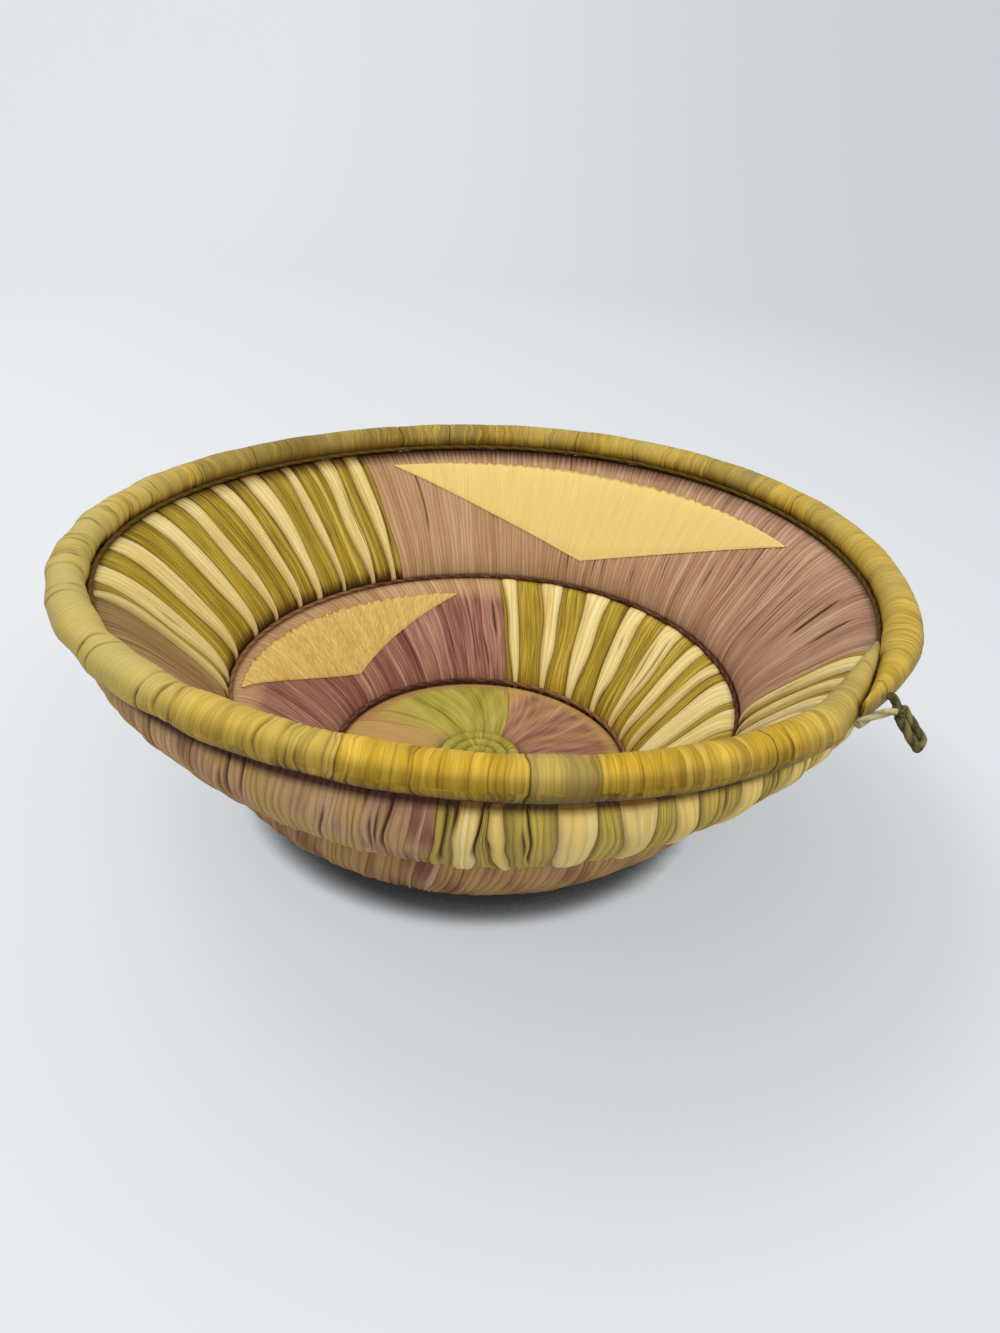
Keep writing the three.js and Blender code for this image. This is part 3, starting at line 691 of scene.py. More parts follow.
def strip_profile(lay, inside):
    """How far each column rises as part of a strip, and how far it sinks beside one, from 0 to 1."""
    rise, sunk = 0 * lay.angle, 0 * lay.angle
    for low, high in inside:
        within = (lay.angle >= low) & (lay.angle <= high)
        rise[within] = rib((lay.angle[within] - low) / (high - low))
        for edge in (low, high):
            beside = np.exp(-((lay.angle - edge) * lay.per_degree / STRIP_SINKS_OVER) ** 2)
            sunk = np.maximum(sunk, np.where(within, 0.25, 1) * beside)
    return rise, sunk


def choose_splits(rng, ring, lay, faces, splits):
    """Splits between strands: an edge, the shares where each begins and ends, its depth and its face."""
    outer_face, inner_face = faces
    edges = lay.edges[1:-1]
    chances = list(zip(edges, rng.random(len(lay.edges))))
    chosen = [(edge, *sorted(rng.uniform(0.1, 0.95, 2)), SMALL_SPLIT, 1.0)
              for edge, chance in chances if ring.relief == 1 and chance < SPLIT_CHANCE]
    # Outside, some run up under the rim, from a share that the same draw gives
    if ring.under_rim:
        chosen += [(edge, 1 - 6 * (0.97 - chance), 1.1, UNDER_RIM_SPLIT, outer_face)
                   for edge, chance in chances if chance > 1 - UNDER_RIM_CHANCE]
    chosen += [(edges[np.argmin(np.abs(edges - split[0]))], *split[1:], inner_face) for split in splits]
    return chosen


def open_splits(chosen, lay, along, lift, painted_shade_and_marks, angle):
    """Sinks the columns where strands part and darkens them and their neighbours with painted shade, and
    pushes the neighbours aside.
    """
    share = (along + 1) / 2
    for edge, low, high, deep, face in chosen:
        at = int(np.argmin(np.abs(lay.angle - edge)))
        length = ease(low - 0.06, low + 0.08, share) * (1 - ease(high - 0.08, high + 0.06, share))
        length = length * face * deep
        lift[at] -= SPLIT_SINKS * length
        painted_shade_and_marks[at] += 1.1 * length
        wide = 0.5 if deep > 0.9 else 0.22
        for beside, push in ((at - 1, -1), (at + 1, 1)):
            angle[beside] += push * wide * length / lay.per_degree
            painted_shade_and_marks[beside] += 1.4 * wide * length


def under_rim_shade_and_browning(lay, along, angle, faces, rise, striped):
    """How dark the upper band is: painted shade under the rim and round the feet of its strips, and its own
    browning at its browned place.
    """
    outer_face, inner_face = faces
    browned = (0.36 + 0.25 * lay.tone) * weathered(angle)
    painted_shade_and_marks = inner_face * (rim_shaded(angle) * ease(0.72, 0.94, along) + browned)
    painted_shade_and_marks += 0.95 * outer_face * ease(0.85, 0.94, along)
    if striped:
        painted_shade_and_marks += 0.8 * inner_face * ease(0.76, 0.96, -along) * (1 - rise)
        painted_shade_and_marks += 0.5 * outer_face * ease(0.86, 0.95, -along) * rise
    return painted_shade_and_marks


def band_sleeve(name, ring, limits, strips, finishes, slot, settings, sides, seed,
                splits=(), border=0.0, sandy=nowhere, pale=0.0, pale_top=0.0):
    """A sector of a band: raffia strands wound side by side round the ring, with raised cream strips.

    On its inside face border is how stained its high edge is, sandy how much paler and sandier it is at an
    angle, pale how light it is and pale_top how much lighter it is near its high edge."""
    rng = np.random.default_rng(seed)
    per_degree = math.radians(ring.middle[0])
    gap = END_GAP / per_degree
    ends = np.array((limits[0] + gap, limits[1] - gap))
    strips, splits = ([row for row in rows if limits[0] < row[0] < limits[1]] for rows in (strips, splits))
    inside = [(middle - width / 2, middle + width / 2) for middle, width in strips]
    zones, at = [], ends[0]
    for low, high in inside:
        zones += [(at, low, 0), (low, high, 1)]
        at = high
    zones.append((at, ends[1], 0))
    widths = (settings.narrowest / MM, settings.widest / MM)
    lay = Strands(rng, zones, per_degree, (widths, widths))
    turn, walked = ring.turns(sides)
    along, sin = section_share(turn), np.sin(turn)
    outer_face, inner_face = np.clip(-sin * FACE_SHARPNESS, 0, 1), np.clip(sin * FACE_SHARPNESS, 0, 1)
    faces = outer_face, inner_face

    columns = lay.angle + 0 * along
    if inside:
        columns = strip_columns(lay, along, outer_face, [strip[0] for strip in strips], inside, ends)
    angle = columns + ring.turned + ring.lean(columns) / 2 * along + wander(columns, along) / per_degree

    # Strands and strips stand out, less near the two edges
    weather = lay.spread(rng.random(lay.count))
    relief = np.where(lay.finish == 1, settings.cream_relief, settings.relief) / MM
    lift = ring.relief * (relief * lay.crest * lay.height) * (1 - along ** 8)
    lift *= 1 + outer_face * (1.8 * weather - 0.3)
    lift += ring.swell[0] * ease(0.9, 1, -along) + ring.swell[1] * ease(0.9, 1, along)
    rise, sunk = strip_profile(lay, inside)
    faded = 1 - np.abs(along) ** 7
    blunt = 1 - outer_face * (0.45 + 0.55 * ease(0.8, 0.93, -along))
    lift += settings.strip_rise / MM * rise * faded * blunt
    lift -= STRIP_SINKS * sunk * faded

    # Painted shade at each point, from 0 to 1: between strands, beside strips and in splits, and deep in the
    # creases
    painted_shade_and_marks = (0.1 + 0.16 * ring.relief) * (1 - lay.crest) + 0 * lift
    painted_shade_and_marks += 0.6 * sunk
    open_splits(choose_splits(rng, ring, lay, faces, splits), lay, along, lift, painted_shade_and_marks, angle)
    # Painted shade in the creases at both edges, and a little more towards the low edge
    painted_shade_and_marks += 0.55 * ease(0.93, 1.0, np.abs(along)) + 0.12 * ease(0.6, 0.95, -along)
    if ring.under_rim:
        painted_shade_and_marks += under_rim_shade_and_browning(lay, along, angle, faces, rise, bool(inside))
    else:
        painted_shade_and_marks += 0.14 * outer_face

    # How far it is stained or turned sandy, from 0 to 1, and how light its dye is
    smooth = 1 - ring.relief
    high_part = inner_face * ease(0.45, 0.75, along)
    blotch = np.sin(np.radians(13 * angle) + 1.7) + np.sin(np.radians(29 * angle) + 4 * along)
    stain = outer_face * (0.62 + 0.22 * blotch + 0.6 * (weather - 0.5)) + 0.1 * smooth * blotch
    stain += 0.4 * pale_top * high_part + (border * ease(0.56, 0.7, along) + sandy(angle)) * inner_face
    tone = lay.tone * (0.4 + 0.6 * ring.relief + 0.7 * outer_face) + lay.drift * along
    tone += (pale + 1.2 * sandy(angle)) * inner_face + blotch * np.maximum(0.4 * outer_face, 0.25 * smooth)
    tone += pale_top * high_part
    if ring.under_rim:
        stain += 0.5 * inner_face * weathered(angle)
        tone += 1.6 * outer_face * (1 - rise) * bool(inside)
    else:
        tone -= 0.8 * outer_face

    def place(wanted, lifted):
        return ring.place(angle[:, wanted], turn[wanted], lifted)

    raffia = stacked(lay.angle * per_degree, walked, lay.number)
    shade = stacked(tone, np.clip(painted_shade_and_marks, 0, 1), np.clip(stain, 0, 1))
    surface = Surface()
    surface.sleeve(place, lift, raffia, shade, BAND_WRAP, lay.finish[:-1])
    return surface.piece(name + "_strands", name, finishes, slot)


def rim_colour_and_shade(lay, turn, uneven, side):
    """How light the rim's colour is, how stained, and how much khaki is in it. Its lower half is darker and
    less khaki, partly by a darker dye and partly as painted shade.
    """
    travels, khakis, lights = np.transpose(RIM_TINTS)
    khaki, light = np.interp(lay.angle, travels, khakis), np.interp(lay.angle, travels, lights)
    darker_dye_and_shade_below = ease(-0.6, 0.4, -np.sin(turn))
    tone = 0.55 * lay.tone * (1 + 1.8 * uneven) + light + lay.drift * side - 0.7 * darker_dye_and_shade_below
    stain = khaki + 0.1 * np.sin(np.radians(17 * lay.angle)) + 0.15 * lay.drift
    return tone, np.clip(stain, 0, 1) * (1 - 0.6 * darker_dye_and_shade_below), khaki


def rim_sleeve(name, limits, finish, settings, seed, solid_ends=False):
    """A length of the rim coil: raffia wound round it from one joint to the next."""
    rng = np.random.default_rng(seed)
    per_degree = math.radians(rim_centre[0])
    gap = END_GAP / per_degree
    lay = Strands(rng, [(limits[0] + gap, limits[1] - gap, 0)], per_degree,
                  [(settings.narrowest / MM * RIM_NARROWER, settings.widest / MM)])
    turn = np.linspace(0, 2 * np.pi, RIM_SIDES, endpoint=False)
    side = np.cos(turn - 0.6)
    travel = lay.angle + 0.9 * wander(lay.angle * 2, 1.3 * side) / per_degree

    # Strands, lumps, sunk joints and grooves, all lower where the coil is slim
    ends = 0
    for joint in limits:
        deep = DARK_JOINT_DEPTH if joint in RIM_DARK_JOINTS else JOINT_DEPTH
        ends = np.maximum(ends, deep * np.exp(-((lay.angle - joint) * per_degree / JOINT_WIDTH) ** 2))
    lumps = RIM_LUMP * np.sin(np.radians(23 * travel))
    lumps = lumps + RIM_SMALL_LUMP * np.sin(np.radians(41 * travel) + 2 * turn)
    lumpy = hill(travel, RIM_LUMPY_AT, RIM_LUMPY_WIDTH)
    lumps = lumps * (1 + 2.2 * lumpy) - 0.35 * lumpy
    slim = np.clip(np.minimum(lay.angle, 360 + SCARF_ANGLE - lay.angle) / SCARF_ANGLE, 0.3, 1)
    relief = settings.rim_relief / MM * (lay.crest * lay.height)
    lift = (relief + lumps - JOINT_SINKS * ends) * slim
    deep = rng.random(len(lay.edges))
    strand_edge_shade = (lay.crest == 0) * (0.04 + 0.12 * lay.spread(deep))
    groove = 0
    uneven = hill(lay.angle, RIM_LUMPY_AT, RIM_LUMPY_WIDTH)
    grooves = lay.edges[:-1][deep[:-1] > 1 - GROOVE_CHANCE]
    if len(grooves):
        away = np.min(np.abs(lay.angle - grooves), axis=1, keepdims=True) * per_degree
        groove = np.exp(-(away / (GROOVE_WIDTH + 0.3 * uneven)) ** 2) * (0.2 + 0.8 * uneven)
        groove = groove * (0.6 + 0.4 * np.sin(2 * turn + lay.angle))
        lift -= GROOVE_SINKS * groove * slim

    # Painted shade: the coil darkens on its sides and underside towards the creases, at the edges of its
    # strands, in its grooves and at its thin start beside the finishing tip. Its joints are dark in their own
    # colour.
    tone, stain, khaki = rim_colour_and_shade(lay, turn, uneven, side)
    down, outward = -np.sin(turn), np.clip(2 * np.cos(turn), 0, 1)
    painted_side_shade = (1 - outward) * 0.72 * ease(-0.3, 0.65, down) + outward * 0.34 * ease(0.3, 0.8, down)
    painted_side_shade = painted_side_shade + (0.46 - 0.28 * khaki) * outward * ease(-0.85, -0.3, down)
    painted_shade_and_marks = strand_edge_shade + 0.9 * ends + painted_side_shade + 0.8 * groove + 0.5 * (1 - ease(7, 12, lay.angle))

    def place(wanted, lifted):
        return rim_place(travel[:, wanted], turn[wanted], lifted)

    raffia = stacked(lay.angle * per_degree, turn * RIM_COIL_WIDTH / 2, lay.number)
    shade = stacked(tone, np.clip(painted_shade_and_marks, 0, 1), stain)
    surface = Surface()
    if solid_ends:
        points = place(EVERY_COLUMN, lift)
        surface.rod(points, points.mean(axis=1), raffia, shade)
    else:
        surface.sleeve(place, lift, raffia, shade, RIM_WRAP)
    return surface.piece(name + "_strands", name, [finish], "mustard_raffia")


def triangle_patch(name, ring, triangle, finish, fringe, slant, pale, seed):
    """A cream triangle: fine strands laid over the mauve ones, with a stepped top edge.

    slant is how far its streaks lean, in mm along the ring for each mm across it."""
    rng = np.random.default_rng(seed)
    per_degree = math.radians(ring.middle[0])
    (left, left_share), (right, right_share), (point, point_share) = (
        triangle[k] for k in ("left", "right", "point"))
    bow_left, bow_right = triangle["bows"]
    lay = Strands(rng, [(right, left, 0)], per_degree, [PANEL_STRANDS])
    across = np.clip((lay.angle - right) / (left - right), 0.004, 0.996)
    angle = right + (left - right) * across
    rightward = angle < point
    out = np.where(rightward, (point - angle) / (point - right), (angle - point) / (left - point))
    corner = np.where(rightward, right_share, left_share)
    bow = np.where(rightward, bow_right, bow_left)
    low = point_share + (corner - point_share) * out - 4 * bow * out * (1 - out)
    top = right_share + (left_share - right_share) * across
    tooth = np.floor(lay.edges[:-1] * per_degree / PANEL_TOOTH) % 2
    teeth = lay.spread(fringe * (tooth - 0.5) + rng.uniform(-0.5, 0.5, lay.count) * fringe)
    top = np.maximum(top + teeth * np.clip(4 * np.minimum(across, 1 - across), 0, 1) * 2, low + 0.004)
    part = np.linspace(0, 1, PANEL_ROWS)
    share = low + (top - low) * part
    turn = share_turn(share)
    grain = angle + wander(angle, 2 * share - 1) * 0.15 / per_degree
    edge = np.minimum(part, 1 - part)
    rounded = 0.25 + 0.75 * ease(0, 0.1, edge)
    relief = PANEL_RELIEF * (lay.crest * lay.height) * rounded
    height = (PANEL_LOW + (PANEL_HIGH - PANEL_LOW) * rounded) + relief
    width_mm = ring.length * share
    raffia = stacked(angle * per_degree + slant * width_mm, width_mm, lay.number)
    # Painted shade between its strands and along its edges
    painted_shade_and_marks = 0.08 * (1 - lay.crest) + 0.3 * (1 - ease(0, 0.05, edge))
    shade = stacked(pale + 0.5 * lay.tone, np.clip(painted_shade_and_marks, 0, 1), 0.65 * (slant == 0))
    surface = Surface()
    face = surface.add_points(ring.place(grain, turn, height), raffia, shade)
    back = surface.add_points(ring.place(grain, turn, PANEL_LOW + 0 * height), raffia, shade)
    surface.skin(face, round_ring=False)
    surface.skin(back, inward=True, round_ring=False)
    for line, under, flipped in (
        (face[:, 0], back[:, 0], True), (back[:, -1], face[:, -1], True),
        (face[0], back[0], False), (back[-1], face[-1], False),
    ):
        corners = np.stack((line[1:], under[1:], under[:-1], line[:-1]), axis=-1)
        surface.add_faces(corners[:, ::-1] if flipped else corners)
    return surface.piece(name + "_strands", name, [finish], "cream_raffia")


# Twisted cords

def twisted(surface, path, radius, pitch, closed=False, sides=12, waist=0.66, stains=(0.0, 0.0), pale=0.0):
    """A two-ply cord along a path of points in mm: a tube whose section has two lobes that turn with it.

    waist is how slim it is between the lobes, and stains how much each ply is stained."""
    path = np.asarray(path, float)
    ahead = np.roll(path, -1, axis=0) - np.roll(path, 1, axis=0)
    if not closed:
        ahead[0], ahead[-1] = path[1] - path[0], path[-1] - path[-2]
    ahead /= np.linalg.norm(ahead, axis=1)[:, None]
    carried = [unit(np.cross(ahead[0], (0.0, 0.0, 1.0)))]
    for direction in ahead:
        carried.append(unit(carried[-1] - direction * carried[-1].dot(direction)))
    side = np.array(carried[1:])
    up = np.cross(ahead, side)
    walked = np.concatenate(([0], np.cumsum(np.linalg.norm(np.diff(path, axis=0), axis=1))))
    turn = np.linspace(0, 2 * np.pi, sides, endpoint=False)
    whole = max(1, round(walked[-1] / pitch)) * pitch / max(walked[-1], 1e-6) if closed else 1.0
    wave = np.cos(turn - np.pi * walked[:, None] * whole / pitch)
    lobe = np.abs(wave)
    reach = radius * (waist + (1 - waist) * lobe)
    points = path[:, None] + reach[..., None] * (
        side[:, None] * np.cos(turn)[:, None] + up[:, None] * np.sin(turn)[:, None])
    raffia = stacked(turn * radius + walked[:, None] * 0.5, walked[:, None], 0.0)
    stain = stains[0] + (stains[1] - stains[0]) * ease(0, 0.25, -wave)
    # Painted light and shade: each ply is lighter on its crest and darker in the groove between the plies
    tone = 0.5 * lobe - 0.2 + np.reshape(pale, (-1, 1))
    shade = stacked(tone, 0.6 * (1 - lobe), stain)
    if closed:
        number = surface.add_points(points, raffia, shade)
        surface.skin(np.concatenate((number, number[:1])))
    else:
        surface.rod(points, path, raffia, shade)


def smooth_path(points, each):
    """A smooth line through points, with each steps between neighbours."""
    points = np.asarray(points, float)
    padded = np.concatenate(([2 * points[0] - points[1]], points, [2 * points[-1] - points[-2]]))
    line = []
    for a, b, c, d in zip(padded, padded[1:], padded[2:], padded[3:]):
        for t in np.arange(each) / each:
            line.append(0.5 * (2 * b + (c - a) * t + (2 * a - 5 * b + 4 * c - d) * t ** 2
                               + (3 * b - a - 3 * c + d) * t ** 3))
    return np.array(line + [points[-1]])


def at_place(place):
    """A point given by radius, angle and height where it lies."""
    radius, angle, height = place
    turned = math.radians(angle)
    return np.array((radius * math.cos(turned), radius * math.sin(turned), height))


def seam_line(crease, direction, rings, rim):
    """The middle line of a seam strand, laid as deep as it goes in the crease between two rings.

    Where rim is true, the second ring is the rim coil."""
    around = np.linspace(0, 2 * np.pi, 97)[:-1]
    rim_outline = rim_centre + stacked(
        RIM_COIL_WIDTH / 2 * np.cos(around), RIM_COIL_HEIGHT / 2 * np.sin(around))
    known = np.linspace(0, 360, SEAM_PLACES + 1)
    places = []
    for angle in known[:-1]:
        outlines = [stacked(*ring.section(angle, around)) for ring in rings]
        every = np.concatenate(outlines + [rim_outline] * rim)
        place = np.array(crease, float)
        while np.min(np.linalg.norm(every - place, axis=1)) < SEAM_RADIUS + SEAM_CLEAR:
            place += direction * SEAM_STEP
        places.append(place)
    places = np.array(places + places[:1])
    angle = np.linspace(0, 360, SEAM_POINTS, endpoint=False)
    radius, height = (np.interp(angle, known, places[:, k]) for k in (0, 1))
    return shaped(radius, angle, height)


# Materials

def add_node(tree, kind, settings=None, values=None, links=None):
    """Adds a node to a material: its settings, its fixed inputs and the outputs that feed the others."""
    node = tree.nodes.new(kind)
    for title, value in (settings or {}).items():
        setattr(node, title, value)
    for socket, value in (values or {}).items():
        node.inputs[socket].default_value = value
    for socket, source in (links or {}).items():
        tree.links.new(source, node.inputs[socket])
    return node


def new_material(name):
    """An empty material with a shader and its output."""
    material = bpy.data.materials.new(name)
    material.use_nodes = True
    tree = material.node_tree
    tree.nodes.clear()
    shader = add_node(tree, "ShaderNodeBsdfPrincipled")
    add_node(tree, "ShaderNodeOutputMaterial", links={"Surface": shader.outputs["BSDF"]})
    return material, tree, shader


def fibrous(name, dark, middle, light, stained, crease, roughness, fibre, contrast, bump, patchy=0.5):
    """Fibres that run along each strand, spaced fibre mm apart and dark, middle or light by their streaks.

    contrast and patchy are how strong the streaks and the slow patches are, and bump how raised they look.
    crease is the colour that painted shade darkens it towards."""
    material, tree, shader = new_material(name)
    raffia = add_node(tree, "ShaderNodeAttribute", {"attribute_name": "raffia"}).outputs["Vector"]
    shade = add_node(tree, "ShaderNodeAttribute", {"attribute_name": "shade"}).outputs["Vector"]
    tone, painted_shade_and_marks, stain = add_node(tree, "ShaderNodeSeparateXYZ", links={0: shade}).outputs
    # A streak is 34 times as long as wide, and a patch 9 mm wide and 30 mm long
    streak_scale = (1 / fibre, 1 / (fibre * 34), 1.0)
    streaked = add_node(tree, "ShaderNodeVectorMath", {"operation": "MULTIPLY"}, {1: streak_scale},
                        {0: raffia})
    streaks = add_node(tree, "ShaderNodeTexNoise", None, {"Scale": 1.0, "Detail": 3.0, "Roughness": 0.6},
                       {"Vector": streaked.outputs[0]}).outputs["Fac"]
    patch_scale = (1 / 9, 1 / 30, 0.02)
    patched = add_node(tree, "ShaderNodeVectorMath", {"operation": "MULTIPLY"}, {1: patch_scale}, {0: raffia})
    patches = add_node(tree, "ShaderNodeTexNoise", None, {"Scale": 1.0, "Detail": 2.0},
                       {"Vector": patched.outputs[0]}).outputs["Fac"]
    # How light the colour is at each point: its streaks and patches, moved by the strand's own tone, which in
    # places carries painted light and shade
    centred = add_node(tree, "ShaderNodeMath", {"operation": "MULTIPLY_ADD"},
                       {1: contrast, 2: 0.5 - contrast / 2}, {0: streaks}).outputs[0]
    patch = add_node(tree, "ShaderNodeMath", {"operation": "MULTIPLY_ADD"},
                     {1: patchy, 2: -patchy / 2}, {0: patches}).outputs[0]
    both = add_node(tree, "ShaderNodeMath", {"operation": "ADD"}, None, {0: centred, 1: patch}).outputs[0]
    level = add_node(tree, "ShaderNodeMath", {"operation": "MULTIPLY_ADD"}, {1: 0.22},
                     {0: tone, 2: both}).outputs[0]
    ramp = add_node(tree, "ShaderNodeValToRGB", None, None, {"Fac": level})
    stops = ramp.color_ramp.elements
    stops[0].position, stops[1].position = 0.12, 0.88
    stops[0].color, stops[1].color = linear(dark), linear(light)
    stops.new(0.5).color = linear(middle)
    # The stain covers the dye, the streaks show through it again, and painted shade darkens all towards the
    # crease colour
    mixed = add_node(tree, "ShaderNodeMix", {"data_type": "RGBA"}, {7: linear(stained)},
                     {0: stain, 6: ramp.outputs["Color"]})
    weakened = add_node(tree, "ShaderNodeMath", {"operation": "MULTIPLY_ADD"}, {1: 0.35, 2: 0.65},
                        {0: streaks}).outputs[0]
    restored = add_node(tree, "ShaderNodeMix", {"data_type": "RGBA", "blend_type": "MULTIPLY"}, {0: 0.5},
                        {6: mixed.outputs[2], 7: weakened})
    with_painted_shade = add_node(tree, "ShaderNodeMix", {"data_type": "RGBA"}, {7: linear(crease)},
                       {0: painted_shade_and_marks, 6: restored.outputs[2]})
    tree.links.new(with_painted_shade.outputs[2], shader.inputs["Base Color"])
    rough = add_node(tree, "ShaderNodeMath", {"operation": "MULTIPLY_ADD"},
                     {1: 0.25, 2: roughness - 0.12}, {0: streaks}).outputs[0]
    tree.links.new(rough, shader.inputs["Roughness"])
    raised = add_node(tree, "ShaderNodeBump", None, {"Strength": bump, "Distance": 0.15 * MM},
                      {"Height": streaks})
    tree.links.new(raised.outputs["Normal"], shader.inputs["Normal"])
    # Dry plant fibre is mostly cellulose, which has this refractive index
    shader.inputs["IOR"].default_value = 1.53
    shader.inputs["Specular IOR Level"].default_value = 0.18
    return material


def once(make):
    """Keeps the material that a function makes, so that pieces share it."""
    made = []

    def shared(colours):
        if not made:
            made.append(make(colours))
        return made[0]

    return shared


@once
def mauve_raffia(colours):
    # Palm raffia dyed a dusty mauve and wound tight: dull, streaky, with paler worn fibres
    return fibrous("dyed_raffia_mauve", "#845046", colours.mauve, "#DCB8A0", "#C29E60", "#3C1A12",
                   roughness=0.68, fibre=0.55, contrast=1.05, bump=0.45)


@once
def olive_raffia(colours):
    # Raffia dyed olive green, wound: yellower on the crests and with painted brown shade in the folds
    return fibrous("dyed_raffia_olive", "#7C6010", colours.olive, "#DABE54", "#B8A04C", "#3A2206",
                   roughness=0.6, fibre=0.5, contrast=1.3, bump=0.6)


@once
def fresh_olive_raffia(colours):
    # The same olive where less light has reached it, on the base: greener, and with less contrast
    return fibrous("dyed_raffia_olive_fresh", "#7C7024", "#AEA444", "#CCC064", "#B48C5A", "#3A2A08",
                   roughness=0.6, fibre=0.5, contrast=0.9, bump=0.4)


@once
def cream_raffia(colours):
    # Undyed raffia, wound: pale straw with a soft satin sheen
    return fibrous("natural_raffia_cream", "#E0C070", colours.cream, "#FFF4C4", "#F0D078", "#6A480C",
                   roughness=0.55, fibre=0.5, contrast=1.0, bump=0.35, patchy=0.3)


@once
def aged_cream_raffia(colours):
    # The same straw, a little browner, with painted shade between the strands, which are laid aslant
    return fibrous("natural_raffia_cream_aged", "#C89E50", "#E2C274", "#F2DA94", "#E4C070", "#6A480C",
                   roughness=0.6, fibre=1.1, contrast=1.3, bump=0.4, patchy=0.4)


@once
def mustard_raffia(colours):
    # Raffia dyed mustard yellow and wound very tight: the smoothest and shiniest of the four
    return fibrous("dyed_raffia_mustard", "#6E5200", colours.mustard, "#E6C24C", "#C4B268", "#3A2800",
                   roughness=0.48, fibre=0.6, contrast=0.8, bump=0.25, patchy=0.9)


@once
def dry_grass(colours):
    # Bundled dry grass stems inside the wraps: matt straw
    return fibrous("dry_grass_bundle", "#8A7440", colours.grass, "#C8B478", "#9A8450", "#4A3818",
                   roughness=0.8, fibre=0.9, contrast=1.3, bump=0.6)


@once
def seam_fibre(colours):
    # A dark twisted strand that sews the rings together, deep in its crease
    return fibrous("twisted_seam_fibre", "#34160A", colours.seam, "#94684A", "#66500F", "#1C0A04",
                   roughness=0.8, fibre=0.5, contrast=1.2, bump=0.5)


@once
def string_light(colours):
    # Rough two-ply sisal string, bleached
    return fibrous("sisal_string_light", "#7E7448", colours.string_light, "#DAD2A8", "#B8AE80", "#2C2610",
                   roughness=0.8, fibre=0.4, contrast=1.4, bump=0.8)


@once
def string_dark(colours):
    # The same string, weathered dark
    return fibrous("sisal_string_dark", "#302A10", colours.string_dark, "#8A7E44", "#8E8450", "#181406",
                   roughness=0.8, fibre=0.4, contrast=1.4, bump=0.8)


